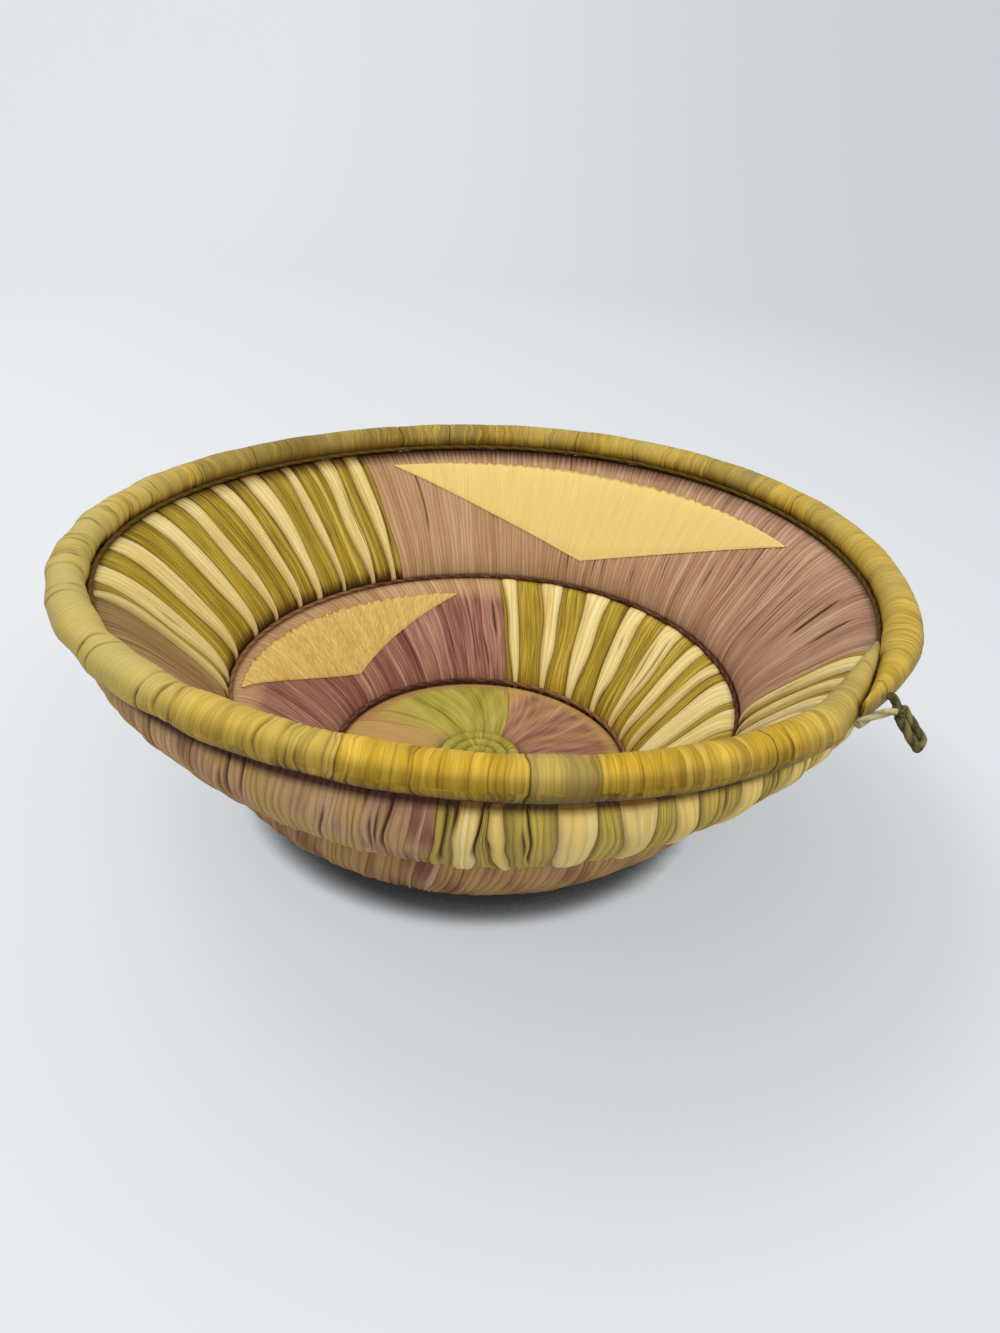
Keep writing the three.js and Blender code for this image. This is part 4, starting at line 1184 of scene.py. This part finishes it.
@once
def paper_sweep(colours):
    # A seamless sheet of matt paper with a faint cool cast. The camera sees it partly by its own colour, so
    # that the basket's shadow on it is a pale one, and a painted shadow darkens it close under the base.
    material, tree, shader = new_material("matt_paper_sweep")
    shader.inputs["Roughness"].default_value = 0.9
    shader.inputs["Specular IOR Level"].default_value = 0.1
    place = add_node(tree, "ShaderNodeNewGeometry").outputs["Position"]
    across = add_node(tree, "ShaderNodeSeparateXYZ", links={0: place}).outputs["X"]
    # Painted light falloff: the paper's colour darkens to the right
    rightward = add_node(tree, "ShaderNodeMapRange", None, {"From Min": -0.5, "From Max": 0.6},
                         {"Value": across})
    paper_with_painted_falloff = add_node(tree, "ShaderNodeMix", {"data_type": "RGBA"},
                    {6: linear(colours.paper), 7: linear("#C4C8CC")}, {0: rightward.outputs["Result"]})

    # Painted contact shadow: how open the floor is within 13 mm towards the light, which is least right
    # beside the base. Further out than the basket reaches it counts as open.
    toward_light = add_node(tree, "ShaderNodeCombineXYZ", None, {0: -0.15, 1: 0.5, 2: 0.85}).outputs[0]
    contact = add_node(tree, "ShaderNodeAmbientOcclusion", {"samples": 8}, {"Distance": 13 * MM},
                       {"Normal": toward_light})
    near_open = add_node(tree, "ShaderNodeMapRange", None, {"From Min": 0.31, "From Max": 0.77},
                         {"Value": contact.outputs["AO"]})
    far = add_node(tree, "ShaderNodeVectorMath", {"operation": "LENGTH"}, None, {0: place}).outputs["Value"]
    beyond = add_node(tree, "ShaderNodeMapRange", None, {"From Min": 0.2, "From Max": 0.3}, {"Value": far})
    close = add_node(tree, "ShaderNodeMath", {"operation": "MAXIMUM"}, None,
                     {0: near_open.outputs[0], 1: beyond.outputs[0]})

    # The bowl's wide soft shadow, painted into what the camera sees of the paper: what it hides of the low
    # light from the left within 120 mm. It weakens with distance and ends half a metre out.
    low_light = add_node(tree, "ShaderNodeCombineXYZ", None, {0: -0.75, 1: 0.3, 2: 0.58}).outputs[0]
    bowl = add_node(tree, "ShaderNodeAmbientOcclusion", {"samples": 8}, {"Distance": 120 * MM},
                    {"Normal": low_light})
    weakening = {"From Min": 0.35, "From Max": 0.5, "To Min": 0.45, "To Max": 0.0}
    weight = add_node(tree, "ShaderNodeMapRange", None, weakening, {"Value": far}).outputs["Result"]
    hidden = add_node(tree, "ShaderNodeMath", {"operation": "SUBTRACT"}, {0: 1.0}, {1: bowl.outputs["AO"]})
    taken = add_node(tree, "ShaderNodeMath", {"operation": "MULTIPLY"}, None,
                     {0: hidden.outputs[0], 1: weight})
    left = add_node(tree, "ShaderNodeMath", {"operation": "SUBTRACT"}, {0: 1.0}, {1: taken.outputs[0]})
    both = add_node(tree, "ShaderNodeMath", {"operation": "MULTIPLY"}, None,
                    {0: close.outputs[0], 1: left.outputs[0]})

    # The lit paper's colour has the painted contact shadow alone. What the camera sees of the paper's own
    # colour has both painted shadows, and is painted a little brighter near the basket.
    painted_shadow_colour = (0.02, 0.02, 0.02, 1)
    lit, seen = (
        add_node(tree, "ShaderNodeMix", {"data_type": "RGBA"}, {6: painted_shadow_colour},
                 {0: openness.outputs[0], 7: paper_with_painted_falloff.outputs[2]}).outputs[2] for openness in (close, both))
    tree.links.new(lit, shader.inputs["Base Color"])
    fading = {"From Min": 0.3, "From Max": 1.3, "To Min": 1.36, "To Max": 1.19}
    strength = add_node(tree, "ShaderNodeMapRange", None, fading, {"Value": far}).outputs["Result"]
    shown = add_node(tree, "ShaderNodeEmission", None, None, {"Strength": strength, "Color": seen})
    path = add_node(tree, "ShaderNodeLightPath")
    share = add_node(tree, "ShaderNodeMath", {"operation": "MULTIPLY"}, {1: 0.75},
                     {0: path.outputs["Is Camera Ray"]})
    mixed = add_node(tree, "ShaderNodeMixShader", None, None,
                     {0: share.outputs[0], 1: shader.outputs["BSDF"], 2: shown.outputs["Emission"]})
    output = next(node for node in tree.nodes if node.type == "OUTPUT_MATERIAL")
    tree.links.new(mixed.outputs["Shader"], output.inputs["Surface"])
    return material


# Settings

def size_setting(name, description, size):
    """A length, given in mm."""
    return bpy.props.FloatProperty(name=name, description=description, default=size * MM, unit="LENGTH")


def colour_setting(name, description, code):
    """A colour, given as sRGB hex."""
    return bpy.props.FloatVectorProperty(
        name=name, description=description, default=srgb(code), subtype="COLOR_GAMMA")


class RaffiaSettings(bpy.types.PropertyGroup):
    """Sizes of the raffia strands."""
    narrowest: size_setting("Narrowest strand", "Width of the narrowest strands", 1.3)
    widest: size_setting("Widest strand", "Width of the widest strands", 2.6)
    relief: size_setting("Strand height", "How far a strand stands out", 0.3)
    cream_relief: size_setting("Cream strand height", "The same on the cream strips", 0.14)
    rim_relief: size_setting("Rim strand height", "The same on the rim coil", 0.15)
    strip_rise: size_setting("Strip height", "How far a cream strip stands up", 1.9)


class ColourSettings(bpy.types.PropertyGroup):
    """The middle colour of each finish, as it is written in sRGB."""
    mauve: colour_setting("Mauve", "Mauve raffia", "#B88C78")
    olive: colour_setting("Olive", "Olive raffia", "#B49A2C")
    cream: colour_setting("Cream", "Natural raffia", "#F8E49C")
    mustard: colour_setting("Mustard", "Rim raffia", "#C29C1C")
    grass: colour_setting("Grass", "Bundles inside the wraps", "#B39A5C")
    seam: colour_setting("Seam", "Seam strands", "#5A3222")
    string_light: colour_setting("Light string", "Hanging loop, light strand", "#B8AE80")
    string_dark: colour_setting("Dark string", "Hanging loop, dark strand and eye", "#5A5230")
    paper: colour_setting("Paper", "Floor and backdrop", "#D4D8DC")


class StageSettings(bpy.types.PropertyGroup):
    """The light and the camera's lens."""
    dome: bpy.props.FloatProperty(
        name="Dome", description="Strength of the light from all round", default=0.58)
    key: bpy.props.FloatProperty(
        name="Key", description="Power of the soft light above the camera", default=30.0, unit="POWER")
    back_light: bpy.props.FloatProperty(
        name="Back light", description="Power of the soft light at the back left", default=28.0, unit="POWER")
    focal: bpy.props.FloatProperty(
        name="Focal length", description="Of the camera, on a 36 mm frame", default=27.007)


# The stage and the operators

def add_camera(scene, focal):
    """The camera, where the picture was taken from: pitched down from the near side and rolled a little."""
    pitch, roll = math.radians(CAMERA_PITCH), math.radians(CAMERA_ROLL)
    ahead = Vector((0, math.cos(pitch), -math.sin(pitch)))
    right = Vector((1, 0, 0))
    up = right.cross(ahead)
    turned = math.cos(roll) * right + math.sin(roll) * up
    raised = math.cos(roll) * up - math.sin(roll) * right
    camera = bpy.data.objects.new("camera", bpy.data.cameras.new("camera"))
    scene.collection.objects.link(camera)
    facing = Matrix((turned, raised, -ahead)).transposed().to_4x4()
    camera.matrix_world = Matrix.Translation(Vector(CAMERA_PLACE) * MM) @ facing
    camera.data.sensor_width = CAMERA_FRAME
    camera.data.lens = focal
    scene.camera = camera


def add_sweep(scene):
    """Floor, a wide curve and a wall in one sheet of paper."""
    line = [(back, 0.0) for back in SWEEP_FLOOR]
    line += [(SWEEP_FLOOR[-1] + SWEEP_CURVE * math.sin(t), SWEEP_CURVE - SWEEP_CURVE * math.cos(t))
             for t in np.linspace(0.1, math.pi / 2, 14)]
    line += [(SWEEP_FLOOR[-1] + SWEEP_CURVE, height) for height in SWEEP_WALL]
    corners = [(x, y, z) for y, z in line for x in (-SWEEP_HALF_WIDTH, SWEEP_HALF_WIDTH)]
    faces = [(2 * i, 2 * i + 1, 2 * i + 3, 2 * i + 2) for i in range(len(line) - 1)]
    mesh = bpy.data.meshes.new("paper_sweep")
    mesh.from_pydata(corners, [], faces)
    mesh.shade_smooth()
    mesh.materials.append(paper_sweep(scene.basket_colours))
    sweep = bpy.data.objects.new("paper_sweep", mesh)
    scene.collection.objects.link(sweep)


def add_dome(scene, strength):
    """Light from all round. The camera sees the room beyond the paper in the paper's own colour."""
    world = bpy.data.worlds.new("dome")
    world.use_nodes = True
    tree = world.node_tree
    dome = tree.nodes["Background"]
    dome.inputs["Color"].default_value = linear("#FFFCF6")
    dome.inputs["Strength"].default_value = strength
    room = add_node(tree, "ShaderNodeBackground", None, {"Color": linear("#DEE2E6")})
    path = add_node(tree, "ShaderNodeLightPath")
    seen = add_node(tree, "ShaderNodeMixShader", None, None,
                    {0: path.outputs["Is Camera Ray"], 1: dome.outputs[0], 2: room.outputs[0]})
    tree.links.new(seen.outputs[0], tree.nodes["World Output"].inputs["Surface"])
    scene.world = world


def add_lamp(scene, name, power, place):
    """A soft square lamp that points at the basket."""
    lamp = bpy.data.lights.new(name, "AREA")
    lamp.shape, lamp.size, lamp.size_y = "RECTANGLE", LAMP_SIZE, LAMP_SIZE
    lamp.energy = power
    lamp.color = linear("#FFFBF2")[:3]
    light = bpy.data.objects.new(name, lamp)
    scene.collection.objects.link(light)
    light.location = place
    light.rotation_euler = (-Vector(place)).to_track_quat("-Z", "Y").to_euler()


class BASKET_OT_stage(bpy.types.Operator):
    """Sets up the camera, the paper sweep and the light"""
    bl_idname = "basket.stage"
    bl_label = "Stage"

    def execute(self, context):
        scene, settings = context.scene, context.scene.basket_stage
        scene.view_settings.view_transform = "Standard"
        add_camera(scene, settings.focal)
        add_sweep(scene)
        add_dome(scene, settings.dome)
        add_lamp(scene, "key", settings.key, KEY_PLACE)
        add_lamp(scene, "back_light", settings.back_light, BACK_LIGHT_PLACE)
        return {"FINISHED"}


def eye_route(knot):
    """The middle line of the loop's eye: out from the knot along one side, round the bend and back."""
    reach = at_place(EYE_TIP) - knot
    length = np.linalg.norm(reach)
    along = reach / length
    level = unit(np.cross(along, (0, 0, 1)))
    turned = math.radians(EYE_TURNED)
    across = level * math.cos(turned) + np.cross(along, level) * math.sin(turned)
    neck_end = KNOT_SIZE + KNOT_GAP + STRAND_RADIUS
    bend = (EYE_WIDTH - 2 * STRAND_RADIUS * EYE_FULLER) / 2
    shoulder = length - STRAND_RADIUS - bend
    side = [(EYE_TUCK, EYE_NECK / 2), (neck_end, EYE_NECK / 2), (shoulder, bend),
            (shoulder + bend * math.sqrt(0.5), bend * math.sqrt(0.5))]
    places = side + [(shoulder + bend, 0)] + [(out, -off) for out, off in reversed(side)]
    return smooth_path([knot + along * out + across * off for out, off in places], STRING_STEPS)


class BASKET_OT_hanging_loop(bpy.types.Operator):
    """Makes the hanging loop under the scarf: two strands, a knot and a drooping eye"""
    bl_idname = "basket.hanging_loop"
    bl_label = "Hanging loop"

    def execute(self, context):
        colours = context.scene.basket_colours
        knot = at_place(KNOT)
        path = eye_route(knot)
        surface = Surface()
        twisted(surface, path, STRAND_RADIUS * EYE_FULLER, EYE_PITCH, sides=STRING_SIDES, waist=0.8,
                stains=(0, 0.7))
        eye = surface.piece("loop_eye_string", "loop_eye", [string_dark(colours)], "loop_dark", body="eye")
        for name, places, finish, slot, stained in (
            ("loop_strand_light", LIGHT_STRAND, string_light(colours), "loop_light", 0.9),
            ("loop_strand_dark", DARK_STRAND, string_dark(colours), "loop_dark", 0.0),
        ):
            points = [at_place(p) for p in places]
            points.append(knot + unit(points[-1] - knot) * EYE_TUCK)
            surface = Surface()
            twisted(surface, smooth_path(points, STRING_STEPS), STRAND_RADIUS, STRAND_PITCH,
                    sides=STRING_SIDES, stains=(0, stained))
            surface.piece(name + "_string", name, [finish], slot)

        # The knot is one strand wound in a ball: twice round, and three times in and out
        surface = Surface()
        turn = np.linspace(0, 2 * math.pi, 121)[:-1]
        wide = 1.0 + KNOT_LOOP * np.cos(3 * turn)
        ball = stacked(wide * np.cos(2 * turn), wide * np.sin(2 * turn), KNOT_FLATNESS * np.sin(3 * turn))
        twisted(surface, knot + ball, KNOT_STRAND_RADIUS, KNOT_PITCH, closed=True)
        surface.piece("loop_knot_string", "loop_knot", [string_dark(colours)], "loop_dark")
        return {"FINISHED"}


class BASKET_OT_centre_coil(bpy.types.Operator):
    """Winds the small spiral in the middle of the base"""
    bl_idname = "basket.centre_coil"
    bl_label = "Centre coil"

    def execute(self, context):
        rng = np.random.default_rng(COIL_SEED)
        last = CENTRE_COIL_TURNS * 360.0

        def winding(travel):
            return centre_inner + CENTRE_COIL_PITCH * travel / 360

        travel = [0.0]
        while travel[-1] < last:
            travel.append(travel[-1] + rng.uniform(*COIL_STRANDS) / math.radians(winding(travel[-1])))
        angle, crest, strand = over_strands(np.array(travel[:-1] + [last]))
        tone = rng.normal(0, 0.4, len(travel) - 1)[strand][:, None]
        turn = np.linspace(0, 2 * np.pi, COIL_SIDES, endpoint=False)
        radius = winding(angle)
        slim = 0.45 + 0.55 * ease(0, COIL_TAPER, angle) * (1 - 0.55 * ease(last - COIL_TAPER, last, angle))
        reach = CENTRE_COIL_RADIUS * 0.97 * slim + COIL_RELIEF * crest + 0 * turn
        points = shaped(
            radius + reach * np.cos(turn), angle + 2.0 * np.sin(turn) / np.maximum(radius / 10, 0.5),
            CENTRE_COIL_HEIGHT + reach * np.sin(turn),
        )
        raffia = stacked(np.radians(angle) * radius, turn * CENTRE_COIL_RADIUS, tone * 30)
        # Painted shade between its strands and on its sides, where one turn lies against the next
        painted_shade_and_marks = 0.2 * (1 - crest) + 0.5 * np.clip(np.abs(np.cos(turn)) - 0.6, 0, 1)
        shade = stacked(tone, np.clip(painted_shade_and_marks, 0, 1), 0.0)
        surface = Surface()
        surface.rod(points, points.mean(axis=1), raffia, shade)
        finish = fresh_olive_raffia(context.scene.basket_colours)
        surface.piece("centre_coil_strands", "centre_coil", [finish], "olive_raffia")
        return {"FINISHED"}


class BASKET_OT_base_ring(bpy.types.Operator):
    """Wraps the flat ring of the base in olive and mauve"""
    bl_idname = "basket.base_ring"
    bl_label = "Base ring"

    def execute(self, context):
        settings, colours = context.scene.basket_raffia, context.scene.basket_colours
        olive = (fresh_olive_raffia(colours), "olive_raffia", {"border": 0.9, "sandy": olive_sandy})
        mauve = (mauve_raffia(colours), "mauve_raffia", {"border": 0.6, "sandy": base_sandy, "pale": -1.2})
        names = ("base_wrap_olive", "base_wrap_mauve_near", "base_wrap_mauve_right")
        for i, (name, (finish, slot, looks)) in enumerate(zip(names, (olive, mauve, mauve))):
            band_sleeve(name, BASE, BASE_SECTORS[i:i + 2], (), [finish], slot, settings, BASE_SIDES,
                        BASE_SEED + i, **looks)
        return {"FINISHED"}


class BASKET_OT_lower_band(bpy.types.Operator):
    """Wraps the lower band: cream strips on olive, and plain mauve"""
    bl_idname = "basket.lower_band"
    bl_label = "Lower band"

    def execute(self, context):
        settings, colours = context.scene.basket_raffia, context.scene.basket_colours
        striped = [olive_raffia(colours), cream_raffia(colours)]
        for i, place in enumerate(("front", "right", "back")):
            band_sleeve("lower_stripes_" + place, LOWER, LOWER_STRIPED_SECTORS[i:i + 2], LOWER_STRIPS,
                        striped, "olive_raffia", settings, LOWER_SIDES, LOWER_STRIPES_SEED + i)
        mauves = (("back", -1.0), ("back_left", -1.0), ("left", -0.6), ("front_left", -0.6), ("front", -1.0))
        for i, (place, pale) in enumerate(mauves):
            band_sleeve("lower_mauve_" + place, LOWER, LOWER_MAUVE_SECTORS[i:i + 2], (),
                        [mauve_raffia(colours)], "mauve_raffia", settings, LOWER_SIDES,
                        LOWER_MAUVE_SEED + i, LOWER_SPLITS, pale=pale, pale_top=1.3)
        return {"FINISHED"}


class BASKET_OT_upper_band(bpy.types.Operator):
    """Wraps the upper band: two runs of stripes and the mauve between them"""
    bl_idname = "basket.upper_band"
    bl_label = "Upper band"

    def execute(self, context):
        settings, colours = context.scene.basket_raffia, context.scene.basket_colours
        striped = [olive_raffia(colours), cream_raffia(colours)]
        runs = (
            (("upper_stripes_front", "upper_stripes_right"), UPPER_NEAR_SECTORS, UPPER_NEAR_STRIPS),
            (("upper_mauve_right", "upper_mauve_back", "upper_mauve_back_left"), UPPER_BACK_SECTORS, ()),
            (("upper_stripes_back_left", "upper_stripes_left"), UPPER_LEFT_SECTORS, UPPER_LEFT_STRIPS),
            (("upper_mauve_left", "upper_mauve_front_left"), UPPER_FRONT_LEFT_SECTORS, ()),
        )
        for run, (names, sectors, strips) in enumerate(runs):
            finishes = striped if strips else [mauve_raffia(colours)]
            slot = "olive_raffia" if strips else "mauve_raffia"
            for i, name in enumerate(names):
                band_sleeve(name, UPPER, sectors[i:i + 2], strips, finishes, slot, settings, UPPER_SIDES,
                            UPPER_SEED + 10 * run + i, UPPER_SPLITS, sandy=nowhere if strips else sandier_at_back_left)
        return {"FINISHED"}


class BASKET_OT_triangles(bpy.types.Operator):
    """Lays the two cream triangles over the mauve wraps"""
    bl_idname = "basket.triangles"
    bl_label = "Cream triangles"

    def execute(self, context):
        colours = context.scene.basket_colours
        triangle_patch("upper_triangle_panel", UPPER, UPPER_TRIANGLE, cream_raffia(colours),
                       fringe=0.004, slant=0.0, pale=0.0, seed=UPPER_TRIANGLE_SEED)
        triangle_patch("lower_triangle_panel", LOWER, LOWER_TRIANGLE, aged_cream_raffia(colours),
                       fringe=0.007, slant=0.6, pale=-0.4, seed=LOWER_TRIANGLE_SEED)
        return {"FINISHED"}


class BASKET_OT_rim_coil(bpy.types.Operator):
    """Winds the rim coil length by length, with its two tapered ends"""
    bl_idname = "basket.rim_coil"
    bl_label = "Rim coil"

    def execute(self, context):
        settings, colours = context.scene.basket_raffia, context.scene.basket_colours
        finish = mustard_raffia(colours)
        thin_from, wrapped_from = (s * SCARF_ANGLE for s in (START_THIN_FROM, START_WRAPPED_FROM))
        wrapped_to, thin_to = (360 + s * SCARF_ANGLE for s in (FINISH_WRAPPED_TO, FINISH_THIN_TO))
        limits = (wrapped_from, *RIM_JOINTS, wrapped_to)
        for i in range(len(limits) - 1):
            rim_sleeve(f"rim_wrap_{i + 1:02d}", limits[i:i + 2], finish, settings, RIM_SEED + i)
        ends = (("rim_start_tip", (thin_from, wrapped_from)), ("rim_finish_tip", (wrapped_to, thin_to)))
        for i, (name, reach) in enumerate(ends):
            rim_sleeve(name, reach, finish, settings, RIM_ENDS_SEED + i, solid_ends=True)
        return {"FINISHED"}


class BASKET_OT_seams(bpy.types.Operator):
    """Lays the dark twisted strands in the creases"""
    bl_idname = "basket.seams"
    bl_label = "Seams"

    def execute(self, context):
        finish = seam_fibre(context.scene.basket_colours)
        inward = unit(LOWER.across + UPPER.across)
        seams = (
            ("base_seam", heel, unit(BASE.across + LOWER.across), (BASE, LOWER), False),
            ("step_seam_inside", step, inward, (LOWER, UPPER), False),
            ("step_seam_outside", step, -inward, (LOWER, UPPER), False),
            ("rim_seam_inside", under_rim, UPPER.across, (UPPER,), True),
            ("rim_seam_outside", under_rim, -UPPER.across, (UPPER,), True),
        )
        # Two seams are lighter in places, and the one inside under the rim is yellower
        around = np.linspace(0, 360, SEAM_POINTS, endpoint=False)
        faded = {"step_seam_inside": 2.4 * hill(around, 178, 48), "base_seam": 1.8 * hill(around, 22, 60)}
        yellowed = {"rim_seam_inside": (0.85, 0.85)}
        for name, crease, direction, rings, rim in seams:
            surface = Surface()
            line = seam_line(crease, direction, rings, rim)
            twisted(surface, line, SEAM_RADIUS, SEAM_PITCH, closed=True, sides=SEAM_SIDES, waist=0.88,
                    stains=yellowed.get(name, (0, 0)), pale=faded.get(name, 0.0))
            surface.piece(name + "_strand", name, [finish], "seam_strand")
        return {"FINISHED"}


class BASKET_OT_bundles(bpy.types.Operator):
    """Gives the grass bundles inside the wraps their finish"""
    bl_idname = "basket.bundles"
    bl_label = "Grass bundles"

    def execute(self, context):
        for name in ("base_bundle", "lower_bundle", "upper_bundle", "rim_bundle"):
            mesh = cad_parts[name].data
            mesh.materials.clear()
            mesh.materials.append(dry_grass(context.scene.basket_colours))
        return {"FINISHED"}


STEPS = (
    BASKET_OT_stage, BASKET_OT_hanging_loop, BASKET_OT_centre_coil, BASKET_OT_base_ring,
    BASKET_OT_lower_band, BASKET_OT_upper_band, BASKET_OT_triangles, BASKET_OT_rim_coil,
    BASKET_OT_seams, BASKET_OT_bundles,
)


class BASKET_PT_panel(bpy.types.Panel):
    """Lists the steps that build the basket"""
    bl_idname = "BASKET_PT_panel"
    bl_label = "Coiled basket"
    bl_space_type = "VIEW_3D"
    bl_region_type = "UI"
    bl_category = "Basket"

    def draw(self, context):
        for group in ("basket_raffia", "basket_colours", "basket_stage"):
            settings = getattr(context.scene, group)
            for title in settings.__annotations__:
                self.layout.prop(settings, title)
        for operator in STEPS:
            self.layout.operator(operator.bl_idname)


CLASSES = (RaffiaSettings, ColourSettings, StageSettings, *STEPS, BASKET_PT_panel)


def register():
    for cls in CLASSES:
        bpy.utils.register_class(cls)
    bpy.types.Scene.basket_raffia = bpy.props.PointerProperty(type=RaffiaSettings)
    bpy.types.Scene.basket_colours = bpy.props.PointerProperty(type=ColourSettings)
    bpy.types.Scene.basket_stage = bpy.props.PointerProperty(type=StageSettings)


def unregister():
    for title in ("basket_stage", "basket_colours", "basket_raffia"):
        delattr(bpy.types.Scene, title)
    for cls in reversed(CLASSES):
        bpy.utils.unregister_class(cls)


def main():
    register()
    for operator in STEPS:
        group, title = operator.bl_idname.split(".")
        getattr(getattr(bpy.ops, group), title)()


if __name__ == "__main__":
    main()
